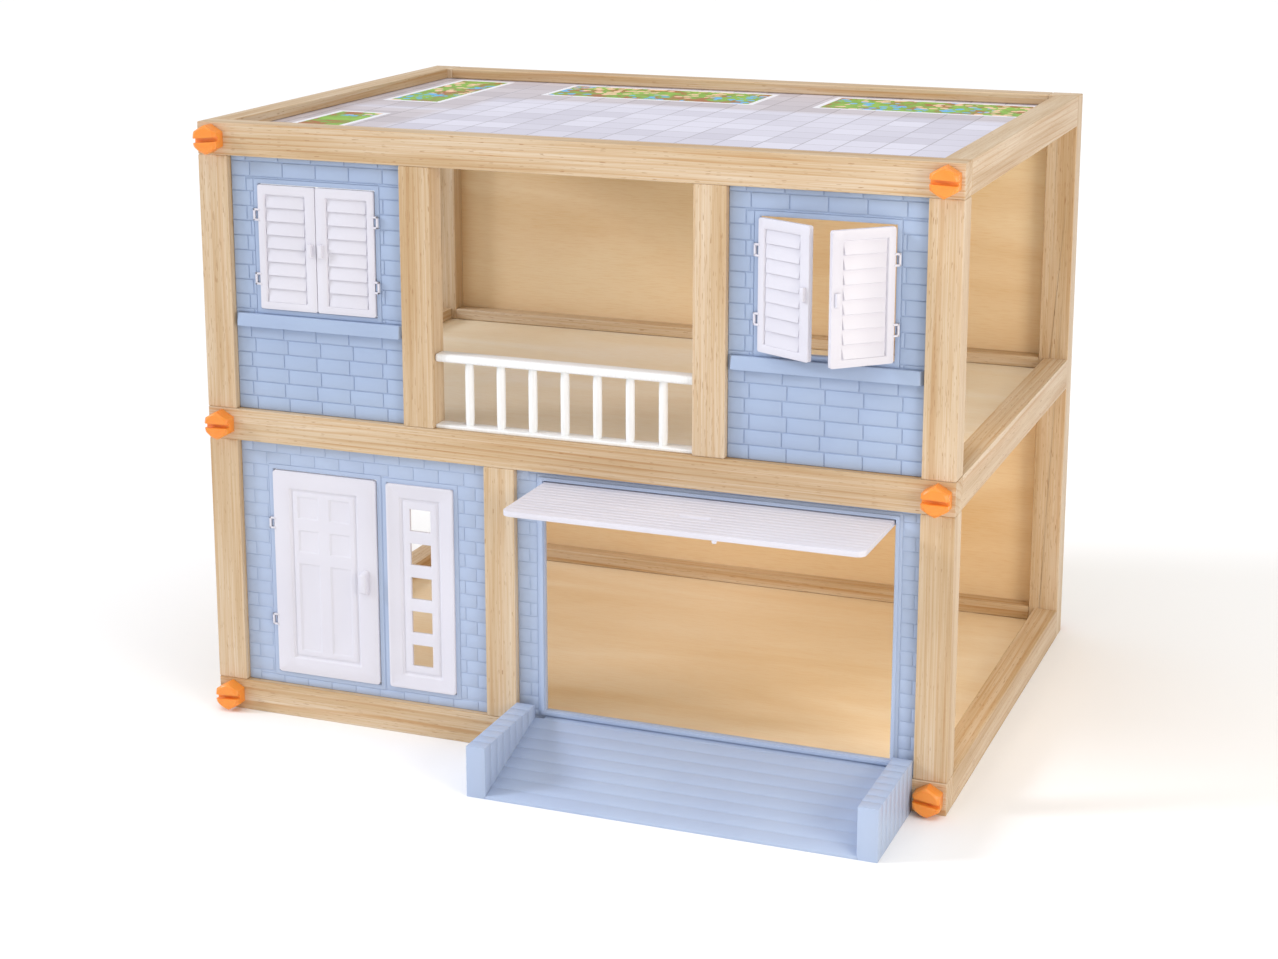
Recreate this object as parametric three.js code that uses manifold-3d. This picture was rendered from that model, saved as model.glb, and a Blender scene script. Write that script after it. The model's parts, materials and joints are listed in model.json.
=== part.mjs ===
// Wooden dollhouse with two storeys: pine frames, plywood boards, moulded wall panels with
// hinged shutters, a hinged front door, an up-and-over garage door, a ramp and a balcony railing.
// Millimetres. House axes inside the group: x from the left outer face, y from the front face
// of the front frame towards the back, z up from the ground.
import * as THREE from "three";
import { mergeVertices } from "three/addons/utils/BufferGeometryUtils.js";
import Module from "manifold-3d";

// Timber frame
const HOUSE_WIDE = 600;
const SIDE_RAIL_LONG = 380;
const STICK_WIDE = 25;
const STICK_DEEP = 20;
const LOWER_STOREY = 200;
const UPPER_STOREY = 200;
const BALCONY_WIDE = 208;
const DOOR_BAY_WIDE = 212;

// Plywood boards, held in grooves round their edges
const BOARD_THICK = 4;
const GROOVE_DEEP = 3;
const GROOVE_CLEARANCE = 0.2;
const ROOF_DROP = 9;
const FLOOR_DROP = 10;
const GROUND_DROP = 12;
const BACK_REBATE = 7;

// Moulded wall panels, set back from the front face of the timber
const PANEL_THICK = 5;
const PANEL_RECESS = 5.5;
const WINDOW_WIDE = 100;
const WINDOW_TALL = 98;
const WINDOW_HEAD_DROP = 21;
const SILL_TALL = 10;
const SILL_DROP = 4;
const SILL_PROUD = 5;

// Shutters and front door: plates that turn on loops over bearings on the panel
const LEAF_THICK = 4;
const LEAF_PROUD = 2;
const LEAF_CLEARANCE = 0.6;
const LOOP_TALL = 9.5;
const LOOP_ARM_TALL = 2;
const LOOP_PIN_RADIUS = 1;
const LOOP_PIN_OUT = 2.4;
const LOOP_CLEARANCE = 0.3;
const SHUTTER_LOOP_INSET = 24;
const KNOB_WIDE = 3.5;
const KNOB_TALL = 10;
const KNOB_PROUD = 3;
const KNOB_INSET = 2.5;
const SHUTTER_OPEN_LEFT = 26;
const SHUTTER_OPEN_RIGHT = 43;
const DOOR_WIDE = 91;
const DOOR_TALL = 168;
const DOOR_SILL = 10;
const DOOR_INSET = 27.5;
const DOOR_LOOP_INSET = 44;
const HANDLE_WIDE = 6;
const HANDLE_TALL = 21;
const HANDLE_PROUD = 6;
const HANDLE_INSET = 7;

// Side light beside the front door
const LIGHT_WIDE = 57;
const LIGHT_TALL = 166;
const LIGHT_INSET = 8.5;
const PANE_SIZE = 17.5;
const PANE_PITCH = 27.5;
const PANE_COUNT = 5;

// Garage opening, its up-and-over door and the rod the door hangs on
const GARAGE_WIDE = 272;
const GARAGE_TALL = 183;
const GARAGE_SILL = 9;
const GARAGE_SIDE = 22;
const GARAGE_DOOR_THICK = 4;
const GARAGE_DOOR_CLEARANCE = 0.75;
const BEAD_RADIUS = 3.5;
const ROD_RADIUS = 1.5;
const ROD_BORE_CLEARANCE = 0.25;
const ROD_REACH = 4.5;
const GARAGE_DOOR_OUT = 74;
const CHANNEL_WALL = 3;
const CHANNEL_CLEARANCE = 0.4;

// Ramp in front of the garage
const RAMP_LONG = 92;
const RAMP_TOP = 29.6;
const RAMP_TOE = 2;
const RAMP_WALL_WIDE = 15;
const RAMP_WALL_TALL = 39.5;
const RAMP_SIDE_GAP = 0.5;

// Balcony railing
const RAIL_FOOT_TALL = 3;
const RAIL_TOP_TALL = 6.5;
const RAIL_HEIGHT = 58;
const RAIL_DEEP = 13;
const RAIL_SETBACK = 4;
const BALUSTER_RADIUS = 3.4;
const BALUSTER_COUNT = 7;
const BALUSTER_SOCKET = 1.5;
const SOCKET_CLEARANCE = 0.1;

// Slotted hexagonal assembly screws
const SCREW_HEAD_RADIUS = 11.5;
const SCREW_HEAD_TALL = 12;
const SCREW_SLOT_WIDE = 5;
const SCREW_SLOT_DEEP = 4;
const SCREW_SHANK_RADIUS = 3.5;
const SCREW_SHANK_LONG = 50;
const SCREW_HOLE_CLEARANCE = 0.15;
const SCREW_SLOT_ANGLES = [-4, 3, -2, 8, -6, 2];

// Levels and bays worked out from the sizes above
const lowerBay = [STICK_WIDE, STICK_WIDE + LOWER_STOREY];
const midRail = [lowerBay[1], lowerBay[1] + STICK_WIDE];
const upperBay = [midRail[1], midRail[1] + UPPER_STOREY];
const topRail = [upperBay[1], upperBay[1] + STICK_WIDE];
const houseTall = topRail[1];
const houseDeep = SIDE_RAIL_LONG + 2 * STICK_DEEP;
const backFrame = [houseDeep - STICK_DEEP, houseDeep];
const balconyBay = [(HOUSE_WIDE - BALCONY_WIDE) / 2, (HOUSE_WIDE + BALCONY_WIDE) / 2];
const leftWindowBay = [STICK_WIDE, balconyBay[0] - STICK_WIDE];
const rightWindowBay = [balconyBay[1] + STICK_WIDE, HOUSE_WIDE - STICK_WIDE];
const doorBay = [STICK_WIDE, STICK_WIDE + DOOR_BAY_WIDE];
const garageBay = [doorBay[1] + STICK_WIDE, HOUSE_WIDE - STICK_WIDE];
const panelFace = [PANEL_RECESS, PANEL_RECESS + PANEL_THICK];
const leafFace = [PANEL_RECESS - LEAF_PROUD, PANEL_RECESS - LEAF_PROUD + LEAF_THICK];

const wasm = await Module();
wasm.setup();

const pine = material(0xe0c7a0, 0.62);
const plywood = material(0xdcc094, 0.66);
const bluePlastic = material(0xa9bedd, 0.42);
const whitePlastic = material(0xeae8ee, 0.38);
const whitePaint = material(0xf2f1ee, 0.45);
const orangePlastic = material(0xf28a33, 0.4);
const roofPaper = material(0xd9d9e4, 0.55);

function material(color, roughness) {
  return new THREE.MeshStandardMaterial({ color, roughness, metalness: 0 });
}

// A closed geometry as a solid that can be cut and joined.
function solidOf(geometry) {
  geometry.deleteAttribute("normal");
  geometry.deleteAttribute("uv");
  const merged = mergeVertices(geometry, 1e-4);
  const vertProperties = merged.attributes.position.array;
  const triVerts = new Uint32Array(merged.index.array);
  return new wasm.Manifold(new wasm.Mesh({ numProp: 3, vertProperties, triVerts }));
}

// A box between two values on each axis, in either order.
function box(xs, ys, zs) {
  const spans = [xs, ys, zs].map(([a, b]) => [Math.min(a, b), Math.max(a, b)]);
  const geometry = new THREE.BoxGeometry(...spans.map(([low, high]) => high - low));
  geometry.translate(...spans.map(([low, high]) => (low + high) / 2));
  return solidOf(geometry);
}

// A box grown by the same amount on every side.
function grownBox(spans, by) {
  return box(...spans.map(([low, high]) => [low - by, high + by]));
}

// A round bar between two points along one axis: "x", "y" or "z".
function bar(axis, radius, span, centre, sides) {
  const geometry = new THREE.CylinderGeometry(radius, radius, span[1] - span[0], sides);
  const middle = (span[0] + span[1]) / 2;
  if (axis === "x") geometry.rotateZ(Math.PI / 2).translate(middle, centre[0], centre[1]);
  if (axis === "y") geometry.translate(centre[0], middle, centre[1]);
  if (axis === "z") geometry.rotateX(Math.PI / 2).translate(centre[0], centre[1], middle);
  return solidOf(geometry);
}

// A solid as a named mesh.
function piece(name, finish, solid) {
  const { vertProperties, triVerts } = solid.getMesh();
  const geometry = new THREE.BufferGeometry();
  geometry.setAttribute("position", new THREE.BufferAttribute(vertProperties, 3));
  geometry.setIndex(new THREE.BufferAttribute(triVerts, 1));
  const mesh = new THREE.Mesh(geometry.toNonIndexed(), finish);
  mesh.geometry.computeVertexNormals();
  mesh.name = name;
  return mesh;
}

const house = new THREE.Group();

// Plywood boards, as spans on each axis
const innerWide = [STICK_DEEP - GROOVE_DEEP, HOUSE_WIDE - STICK_DEEP + GROOVE_DEEP];
const innerDeep = [STICK_DEEP - GROOVE_DEEP, backFrame[0] + GROOVE_DEEP];
const boards = {
  roof_board: boardSpans(topRail[1] - ROOF_DROP),
  mid_floor: boardSpans(midRail[1] - FLOOR_DROP),
  ground_floor: boardSpans(lowerBay[0] - GROUND_DROP),
};
const backSheet = [
  [STICK_WIDE - BACK_REBATE, HOUSE_WIDE - STICK_WIDE + BACK_REBATE],
  [houseDeep - BOARD_THICK, houseDeep],
  [lowerBay[0] - BACK_REBATE, upperBay[1] + BACK_REBATE],
];

function boardSpans(top) {
  return [innerWide, innerDeep, [top - BOARD_THICK, top]];
}

// Assembly screws: where their centre lines run, and which way they go in
const screwXs = { left: STICK_WIDE / 2, right: HOUSE_WIDE - STICK_WIDE / 2 };
const screwZs = {
  bottom: lowerBay[0] / 2,
  mid: (midRail[0] + midRail[1]) / 2,
  top: (topRail[0] + topRail[1]) / 2,
};

function screwSeat(face, x, z) {
  const [outer, inward] = face === "front" ? [0, 1] : [houseDeep, -1];
  return { outer, inward, x, z };
}

const screwSeats = new Map();
for (const face of ["front", "back"]) {
  for (const [level, z] of Object.entries(screwZs)) {
    for (const [side, x] of Object.entries(screwXs)) {
      screwSeats.set(`screw_${face}_${level}_${side}`, screwSeat(face, x, z));
    }
  }
}

function shankSpan({ outer, inward }, extra) {
  const tip = outer + inward * (SCREW_SHANK_LONG + extra);
  const mouth = outer - inward * extra;
  return [Math.min(mouth, tip), Math.max(mouth, tip)];
}

// All that is cut out of the timber: grooves, the back rebate and the screw holes
const grooves = Object.values(boards).map((spans) => grownBox(spans, GROOVE_CLEARANCE));
const rebate = box(backSheet[0], [backSheet[1][0], houseDeep + 1], backSheet[2]);
const screwHoles = [...screwSeats.values()].map((seat) =>
  bar(
    "y",
    SCREW_SHANK_RADIUS + SCREW_HOLE_CLEARANCE,
    shankSpan(seat, 1),
    [seat.x, seat.z],
    16,
  ),
);
const timberCuts = [...grooves, rebate, ...screwHoles];

// One length of timber with its grooves and holes.
function stick(name, xs, ys, zs) {
  let wood = box(xs, ys, zs);
  for (const cut of timberCuts) wood = wood.subtract(cut);
  house.add(piece(name, pine, wood));
}

// Front frame: full-width rails with posts butted between them
const frontFrame = [0, STICK_DEEP];
const fullWidth = [0, HOUSE_WIDE];
const leftPost = [0, STICK_WIDE];
const rightPost = [HOUSE_WIDE - STICK_WIDE, HOUSE_WIDE];
stick("front_bottom_rail", fullWidth, frontFrame, [0, lowerBay[0]]);
stick("front_mid_rail", fullWidth, frontFrame, midRail);
stick("front_top_rail", fullWidth, frontFrame, topRail);
stick("front_lower_post_left", leftPost, frontFrame, lowerBay);
stick("front_lower_mullion", [doorBay[1], garageBay[0]], frontFrame, lowerBay);
stick("front_lower_post_right", rightPost, frontFrame, lowerBay);
stick("front_upper_post_left", leftPost, frontFrame, upperBay);
stick("front_upper_mullion_left", [leftWindowBay[1], balconyBay[0]], frontFrame, upperBay);
stick("front_upper_mullion_right", [balconyBay[1], rightWindowBay[0]], frontFrame, upperBay);
stick("front_upper_post_right", rightPost, frontFrame, upperBay);

// Back frame: full-height corner posts with three rails between them
const betweenPosts = [leftPost[1], rightPost[0]];
stick("back_post_left", leftPost, backFrame, [0, houseTall]);
stick("back_post_right", rightPost, backFrame, [0, houseTall]);
stick("back_bottom_rail", betweenPosts, backFrame, [0, lowerBay[0]]);
stick("back_mid_rail", betweenPosts, backFrame, midRail);
stick("back_top_rail", betweenPosts, backFrame, topRail);

// Side rails: the same stock on edge, between the two frames
const betweenFrames = [frontFrame[1], backFrame[0]];
const sideRailXs = { left: [0, STICK_DEEP], right: [HOUSE_WIDE - STICK_DEEP, HOUSE_WIDE] };
for (const [side, xs] of Object.entries(sideRailXs)) {
  stick(`side_bottom_rail_${side}`, xs, betweenFrames, [0, lowerBay[0]]);
  stick(`side_mid_rail_${side}`, xs, betweenFrames, midRail);
  stick(`side_top_rail_${side}`, xs, betweenFrames, topRail);
}

// Boards and back
for (const [name, spans] of Object.entries(boards)) {
  house.add(piece(name, name === "roof_board" ? roofPaper : plywood, box(...spans)));
}
house.add(piece("back_sheet", plywood, box(...backSheet)));

// A slotted hexagonal screw: a pointed-top head outside the frame, a plain shank inside.
function screw(name, seat, slotAngle) {
  const headEnd = seat.outer - seat.inward * SCREW_HEAD_TALL;
  const headSpan = [Math.min(seat.outer, headEnd), Math.max(seat.outer, headEnd)];
  const centre = [seat.x, seat.z];
  const head = bar("y", SCREW_HEAD_RADIUS, headSpan, centre, 6);
  const shank = bar("y", SCREW_SHANK_RADIUS, shankSpan(seat, 0), centre, 16);
  const slotLong = 2 * SCREW_HEAD_RADIUS + 2;
  const slot = new THREE.BoxGeometry(slotLong, 2 * SCREW_SLOT_DEEP, SCREW_SLOT_WIDE);
  slot.rotateY(THREE.MathUtils.degToRad(slotAngle));
  slot.translate(seat.x, headEnd, seat.z);
  house.add(piece(name, orangePlastic, head.add(shank).subtract(solidOf(slot))));
}

let screwNumber = 0;
for (const [name, seat] of screwSeats) {
  screw(name, seat, SCREW_SLOT_ANGLES[screwNumber % SCREW_SLOT_ANGLES.length]);
  screwNumber += 1;
}

// Hinge of a leaf: a pin out from its hinge edge, in front of the panel. side is +1 for a leaf
// that reaches towards +x from its hinge, and -1 for one that reaches towards -x.
function hingeAt(edgeX, side) {
  return { x: edgeX - side * LOOP_PIN_OUT, y: PANEL_RECESS - LOOP_PIN_RADIUS - LEAF_CLEARANCE, side };
}

// The loop on a leaf: a pin held by an arm above and an arm below.
function hingeLoop(hinge, leafEdge, loopZ) {
  const zs = [loopZ - LOOP_TALL / 2, loopZ + LOOP_TALL / 2];
  const armYs = [hinge.y - LOOP_PIN_RADIUS, hinge.y + LOOP_PIN_RADIUS];
  const armXs = [hinge.x, leafEdge + hinge.side * 1];
  return bar("z", LOOP_PIN_RADIUS, zs, [hinge.x, hinge.y], 12)
    .add(box(armXs, armYs, [zs[0], zs[0] + LOOP_ARM_TALL]))
    .add(box(armXs, armYs, [zs[1] - LOOP_ARM_TALL, zs[1]]));
}

// The bearing on the panel: a saddle behind the pin, and a tongue through the loop.
function hingeBearing(hinge, loopZ) {
  const half = LOOP_TALL / 2 - LOOP_ARM_TALL - LOOP_CLEARANCE;
  const zs = [loopZ - half, loopZ + half];
  const near = LOOP_PIN_RADIUS + LOOP_CLEARANCE;
  const saddle = box(
    [hinge.x - hinge.side * near, hinge.x + hinge.side * (LOOP_PIN_OUT - LOOP_CLEARANCE / 2)],
    [hinge.y, panelFace[0] + 1],
    zs,
  );
  const tongue = box(
    [hinge.x + hinge.side * near, hinge.x + hinge.side * (LOOP_PIN_OUT - LOOP_CLEARANCE / 2)],
    [hinge.y - LOOP_PIN_RADIUS / 2, hinge.y + LOOP_PIN_RADIUS],
    zs,
  );
  const groove = bar("z", near, [zs[0] - 1, zs[1] + 1], [hinge.x, hinge.y], 16);
  return saddle.subtract(groove).add(tongue);
}

// A blank wall panel that fills its bay.
function wallPanel(bay, storey) {
  return box(bay, panelFace, storey);
}

// Window: its opening in a panel, a sill, bearings and two shutters.
function windowSpans(bay) {
  const middle = (bay[0] + bay[1]) / 2;
  const head = upperBay[1] - WINDOW_HEAD_DROP;
  return {
    xs: [middle - WINDOW_WIDE / 2, middle + WINDOW_WIDE / 2],
    zs: [head - WINDOW_TALL, head],
  };
}

function windowPanel(name, bay) {
  const { xs, zs } = windowSpans(bay);
  const sillTop = zs[0] - SILL_DROP;
  let panel = wallPanel(bay, upperBay)
    .subtract(box(xs, [0, STICK_DEEP], zs))
    .add(box(bay, [PANEL_RECESS - SILL_PROUD, panelFace[0] + 1], [sillTop - SILL_TALL, sillTop]));
  for (const [edge, side] of [[xs[0], 1], [xs[1], -1]]) {
    const hinge = hingeAt(edge, side);
    for (const loopZ of shutterLoopZs(zs)) panel = panel.add(hingeBearing(hinge, loopZ));
  }
  house.add(piece(name, bluePlastic, panel));
}

function shutterLoopZs(zs) {
  return [zs[0] + SHUTTER_LOOP_INSET, zs[1] - SHUTTER_LOOP_INSET];
}

// A leaf held at its hinge and turned open by some degrees, as a group round its hinge axis.
function hungLeaf(name, solid, hinge, openDegrees) {
  const mesh = piece(name, whitePlastic, solid.translate([-hinge.x, -hinge.y, 0]));
  const group = new THREE.Group();
  group.position.set(hinge.x, hinge.y, 0);
  group.rotation.z = -hinge.side * THREE.MathUtils.degToRad(openDegrees);
  group.add(mesh);
  house.add(group);
}

function shutter(name, bay, side, openDegrees) {
  const { xs, zs } = windowSpans(bay);
  const edge = side > 0 ? xs[0] : xs[1];
  const hinge = hingeAt(edge, side);
  const leafEdge = edge + side * LEAF_CLEARANCE;
  const meeting = (xs[0] + xs[1]) / 2 - (side * LEAF_CLEARANCE) / 2;
  const leafZs = [zs[0] + LEAF_CLEARANCE, zs[1] - LEAF_CLEARANCE];
  const knobX = meeting - side * KNOB_INSET;
  const knobZ = (leafZs[0] + leafZs[1]) / 2;
  let leaf = box([leafEdge, meeting], leafFace, leafZs).add(
    box(
      [knobX, knobX - side * KNOB_WIDE],
      [leafFace[0] - KNOB_PROUD, leafFace[0] + 1],
      [knobZ - KNOB_TALL / 2, knobZ + KNOB_TALL / 2],
    ),
  );
  for (const loopZ of shutterLoopZs(zs)) leaf = leaf.add(hingeLoop(hinge, leafEdge, loopZ));
  hungLeaf(name, leaf, hinge, openDegrees);
}

windowPanel("wall_panel_upper_left", leftWindowBay);
windowPanel("wall_panel_upper_right", rightWindowBay);
shutter("shutter_left_window_left", leftWindowBay, 1, 0);
shutter("shutter_left_window_right", leftWindowBay, -1, 0);
shutter("shutter_right_window_left", rightWindowBay, 1, SHUTTER_OPEN_LEFT);
shutter("shutter_right_window_right", rightWindowBay, -1, SHUTTER_OPEN_RIGHT);

// Door panel, front door and side light
const doorXs = [doorBay[0] + DOOR_INSET, doorBay[0] + DOOR_INSET + DOOR_WIDE];
const doorZs = [lowerBay[0] + DOOR_SILL, lowerBay[0] + DOOR_SILL + DOOR_TALL];
const doorLoopZs = [doorZs[0] + DOOR_LOOP_INSET, doorZs[1] - DOOR_LOOP_INSET];
const doorHinge = hingeAt(doorXs[0], 1);
const lightXs = [doorXs[1] + LIGHT_INSET, doorXs[1] + LIGHT_INSET + LIGHT_WIDE];
const lightZs = [doorZs[0] + 1, doorZs[0] + 1 + LIGHT_TALL];

function doorPanel() {
  let panel = wallPanel(doorBay, lowerBay)
    .subtract(box(doorXs, [0, STICK_DEEP], doorZs))
    .subtract(box(lightXs, [0, STICK_DEEP], lightZs));
  for (const loopZ of doorLoopZs) panel = panel.add(hingeBearing(doorHinge, loopZ));
  house.add(piece("wall_panel_door", bluePlastic, panel));
}

function frontDoor() {
  const edge = doorXs[0] + LEAF_CLEARANCE;
  const free = doorXs[1] - LEAF_CLEARANCE;
  const handleX = free - HANDLE_INSET;
  const handleZ = (doorZs[0] + doorZs[1]) / 2;
  let leaf = box([edge, free], leafFace, [doorZs[0] + LEAF_CLEARANCE, doorZs[1] - LEAF_CLEARANCE]);
  leaf = leaf.add(
    box(
      [handleX - HANDLE_WIDE, handleX],
      [leafFace[0] - HANDLE_PROUD, leafFace[0] + 1],
      [handleZ - HANDLE_TALL / 2, handleZ + HANDLE_TALL / 2],
    ),
  );
  for (const loopZ of doorLoopZs) leaf = leaf.add(hingeLoop(doorHinge, edge, loopZ));
  hungLeaf("front_door", leaf, doorHinge, 0);
}

function sideLight() {
  const middle = [(lightXs[0] + lightXs[1]) / 2, (lightZs[0] + lightZs[1]) / 2];
  let light = box(lightXs, leafFace, lightZs);
  for (let i = 0; i < PANE_COUNT; i += 1) {
    const z = middle[1] + (i - (PANE_COUNT - 1) / 2) * PANE_PITCH;
    const half = PANE_SIZE / 2;
    light = light.subtract(
      box([middle[0] - half, middle[0] + half], [0, STICK_DEEP], [z - half, z + half]),
    );
  }
  house.add(piece("side_light", whitePlastic, light));
}

doorPanel();
frontDoor();
sideLight();

// Garage panel, with a channel behind each side of the opening for the ends of the rod
const garageXs = [garageBay[0] + GARAGE_SIDE, garageBay[0] + GARAGE_SIDE + GARAGE_WIDE];
const garageZs = [lowerBay[0] + GARAGE_SILL, lowerBay[0] + GARAGE_SILL + GARAGE_TALL];
const rodZ = garageZs[1] - BEAD_RADIUS - 0.5;
const garageDoorLong = rodZ - garageZs[0] - 1;
const rodOpenY = garageDoorLong - GARAGE_DOOR_OUT;
const rodShutY = panelFace[1] + ROD_RADIUS + CHANNEL_CLEARANCE;

function garagePanel() {
  const slotHalf = ROD_RADIUS + CHANNEL_CLEARANCE;
  const channelZs = [rodZ - slotHalf - CHANNEL_WALL, rodZ + slotHalf + CHANNEL_WALL];
  const channelEnd = rodOpenY + slotHalf + CHANNEL_WALL;
  let panel = wallPanel(garageBay, lowerBay).subtract(box(garageXs, [0, STICK_DEEP], garageZs));
  for (const [edge, out] of [[garageXs[0], -1], [garageXs[1], 1]]) {
    const reach = edge + out * (ROD_REACH + CHANNEL_CLEARANCE);
    const channel = box([edge, reach + out * CHANNEL_WALL], [panelFace[1] - 1, channelEnd], channelZs);
    const slot = box(
      [edge - out, reach],
      [panelFace[1], rodOpenY + slotHalf],
      [rodZ - slotHalf, rodZ + slotHalf],
    );
    panel = panel.add(channel).subtract(slot);
  }
  house.add(piece("wall_panel_garage", bluePlastic, panel));
}

// The door lies open: flat, under the lintel, with its free edge out in front.
function garageDoor() {
  const xs = [garageXs[0] + GARAGE_DOOR_CLEARANCE, garageXs[1] - GARAGE_DOOR_CLEARANCE];
  const top = rodZ + BEAD_RADIUS;
  const free = rodOpenY - garageDoorLong;
  const plate = box(xs, [free, rodOpenY], [top - GARAGE_DOOR_THICK, top]);
  const bead = bar("x", BEAD_RADIUS, xs, [rodOpenY, rodZ], 16);
  const boreRadius = ROD_RADIUS + ROD_BORE_CLEARANCE;
  const bore = bar("x", boreRadius, [xs[0] - 1, xs[1] + 1], [rodOpenY, rodZ], 16);
  house.add(piece("garage_door", whitePlastic, plate.add(bead).subtract(bore)));
  const rodXs = [garageXs[0] - ROD_REACH, garageXs[1] + ROD_REACH];
  const rod = bar("x", ROD_RADIUS, rodXs, [rodOpenY, rodZ], 16);
  house.add(piece("garage_door_rod", whitePlastic, rod));
}

garagePanel();
garageDoor();

// Ramp: a wedge between two side walls, with a lip that hooks over the bottom rail
function ramp() {
  const xs = [garageBay[0] + RAMP_SIDE_GAP, garageBay[1] - RAMP_SIDE_GAP];
  const deck = new THREE.Shape();
  deck.moveTo(-RAMP_LONG, 0);
  deck.lineTo(0, 0);
  deck.lineTo(0, RAMP_TOP);
  deck.lineTo(-RAMP_LONG, RAMP_TOE);
  deck.closePath();
  const wedge = new THREE.ExtrudeGeometry(deck, { depth: xs[1] - xs[0], bevelEnabled: false });
  wedge.rotateX(Math.PI / 2).rotateZ(Math.PI / 2).translate(xs[0], 0, 0);
  let body = solidOf(wedge).add(
    box([garageXs[0], garageXs[1]], [-1, PANEL_RECESS - LOOP_CLEARANCE], [lowerBay[0], RAMP_TOP]),
  );
  for (const [edge, inward] of [[xs[0], 1], [xs[1], -1]]) {
    body = body.add(box([edge, edge + inward * RAMP_WALL_WIDE], [-RAMP_LONG, 0], [0, RAMP_WALL_TALL]));
  }
  house.add(piece("garage_ramp", bluePlastic, body));
}

ramp();

// Balcony railing: two rails with turned balusters let into them
const railYs = [RAIL_SETBACK, RAIL_SETBACK + RAIL_DEEP];
const footZs = [upperBay[0], upperBay[0] + RAIL_FOOT_TALL];
const handrailZs = [upperBay[0] + RAIL_HEIGHT - RAIL_TOP_TALL, upperBay[0] + RAIL_HEIGHT];
const balusterZs = [footZs[1] - BALUSTER_SOCKET, handrailZs[0] + BALUSTER_SOCKET];

function railing() {
  let foot = box(balconyBay, railYs, footZs);
  let handrail = box(balconyBay, railYs, handrailZs);
  const y = (railYs[0] + railYs[1]) / 2;
  for (let i = 1; i <= BALUSTER_COUNT; i += 1) {
    const x = balconyBay[0] + (i * BALCONY_WIDE) / (BALUSTER_COUNT + 1);
    const baluster = bar("z", BALUSTER_RADIUS, balusterZs, [x, y], 12);
    const grownZs = [balusterZs[0] - SOCKET_CLEARANCE, balusterZs[1] + SOCKET_CLEARANCE];
    const socket = bar("z", BALUSTER_RADIUS + 2 * SOCKET_CLEARANCE, grownZs, [x, y], 12);
    foot = foot.subtract(socket);
    handrail = handrail.subtract(socket);
    house.add(piece(`railing_baluster_${i}`, whitePaint, baluster));
  }
  house.add(piece("railing_foot", whitePaint, foot));
  house.add(piece("railing_handrail", whitePaint, handrail));
}

railing();

// The origin is on the ground, in the middle of the whole object: from the ramp's toe to the
// heads of the back screws.
const wholeDeep = [-RAMP_LONG, houseDeep + SCREW_HEAD_TALL];
house.position.set(-HOUSE_WIDE / 2, -(wholeDeep[0] + wholeDeep[1]) / 2, 0);
const dollhouse = new THREE.Group();
dollhouse.add(house);

export default dollhouse;
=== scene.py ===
"""Looks of a wooden two-storey dollhouse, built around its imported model.

Pine frames, plywood boards, moulded wall panels with brick relief, shutters, a front door,
a side light, an up-and-over garage door, a ramp, a balcony railing and slotted screws.
"""

import json
import logging
import math
from collections.abc import Callable, Iterable, Sequence
from dataclasses import dataclass, field
from enum import Enum

import bmesh
import bpy
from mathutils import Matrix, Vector

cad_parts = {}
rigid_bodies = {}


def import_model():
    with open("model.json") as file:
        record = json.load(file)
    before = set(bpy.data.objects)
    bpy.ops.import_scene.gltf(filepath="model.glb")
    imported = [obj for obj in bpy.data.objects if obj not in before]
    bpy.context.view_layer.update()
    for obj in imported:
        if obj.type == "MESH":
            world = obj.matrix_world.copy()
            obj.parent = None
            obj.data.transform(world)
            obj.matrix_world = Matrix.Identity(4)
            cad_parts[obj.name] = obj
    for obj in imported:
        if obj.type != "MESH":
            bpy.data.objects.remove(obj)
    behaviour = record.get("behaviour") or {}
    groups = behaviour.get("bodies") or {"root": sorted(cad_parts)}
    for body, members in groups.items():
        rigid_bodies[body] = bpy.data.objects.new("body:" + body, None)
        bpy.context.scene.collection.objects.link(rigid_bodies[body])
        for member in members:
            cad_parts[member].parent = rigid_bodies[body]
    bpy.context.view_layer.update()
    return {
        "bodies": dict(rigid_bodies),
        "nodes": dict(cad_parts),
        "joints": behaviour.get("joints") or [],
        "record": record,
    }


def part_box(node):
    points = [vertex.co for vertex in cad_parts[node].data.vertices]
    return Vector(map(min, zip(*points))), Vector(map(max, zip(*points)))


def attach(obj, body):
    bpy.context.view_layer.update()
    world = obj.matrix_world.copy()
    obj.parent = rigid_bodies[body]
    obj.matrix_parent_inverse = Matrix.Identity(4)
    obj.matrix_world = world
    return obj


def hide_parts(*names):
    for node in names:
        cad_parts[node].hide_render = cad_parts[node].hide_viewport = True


LOG = logging.getLogger("dollhouse")
MM = 0.001
SOFT_ANGLE = math.radians(35)
# A corner this near to a place is at it.
TOUCH = 0.001 * MM
# The parts of one moulding reach this far into each other, and a cutter this far past a face.
LAP = 1 * MM
# A face or an edge runs along an axis when this much of its direction does.
ALONG = 0.9

Box = tuple[Vector, Vector]
Pair = tuple[float, float]
Span = tuple[float, float, float, float]
Test = Callable[[Vector], bool]
Socket = bpy.types.NodeSocket


class Axis(Enum):
    """One of the frame's three directions."""

    X = 0
    Y = 1
    Z = 2


class Side(Enum):
    """The way a hinged leaf reaches from its hinge edge."""

    RIGHTWARDS = 1
    LEFTWARDS = -1


class Blend(Enum):
    """The way one colour is laid over another."""

    COVER = "MIX"
    TINT = "MULTIPLY"


class Select(Enum):
    """What is selected in edit mode."""

    CORNERS = "VERT"
    EDGES = "EDGE"
    FACES = "FACE"


class Cut(Enum):
    """What a cutter leaves of a piece."""

    OUTSIDE = "DIFFERENCE"
    INSIDE = "INTERSECT"


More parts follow.
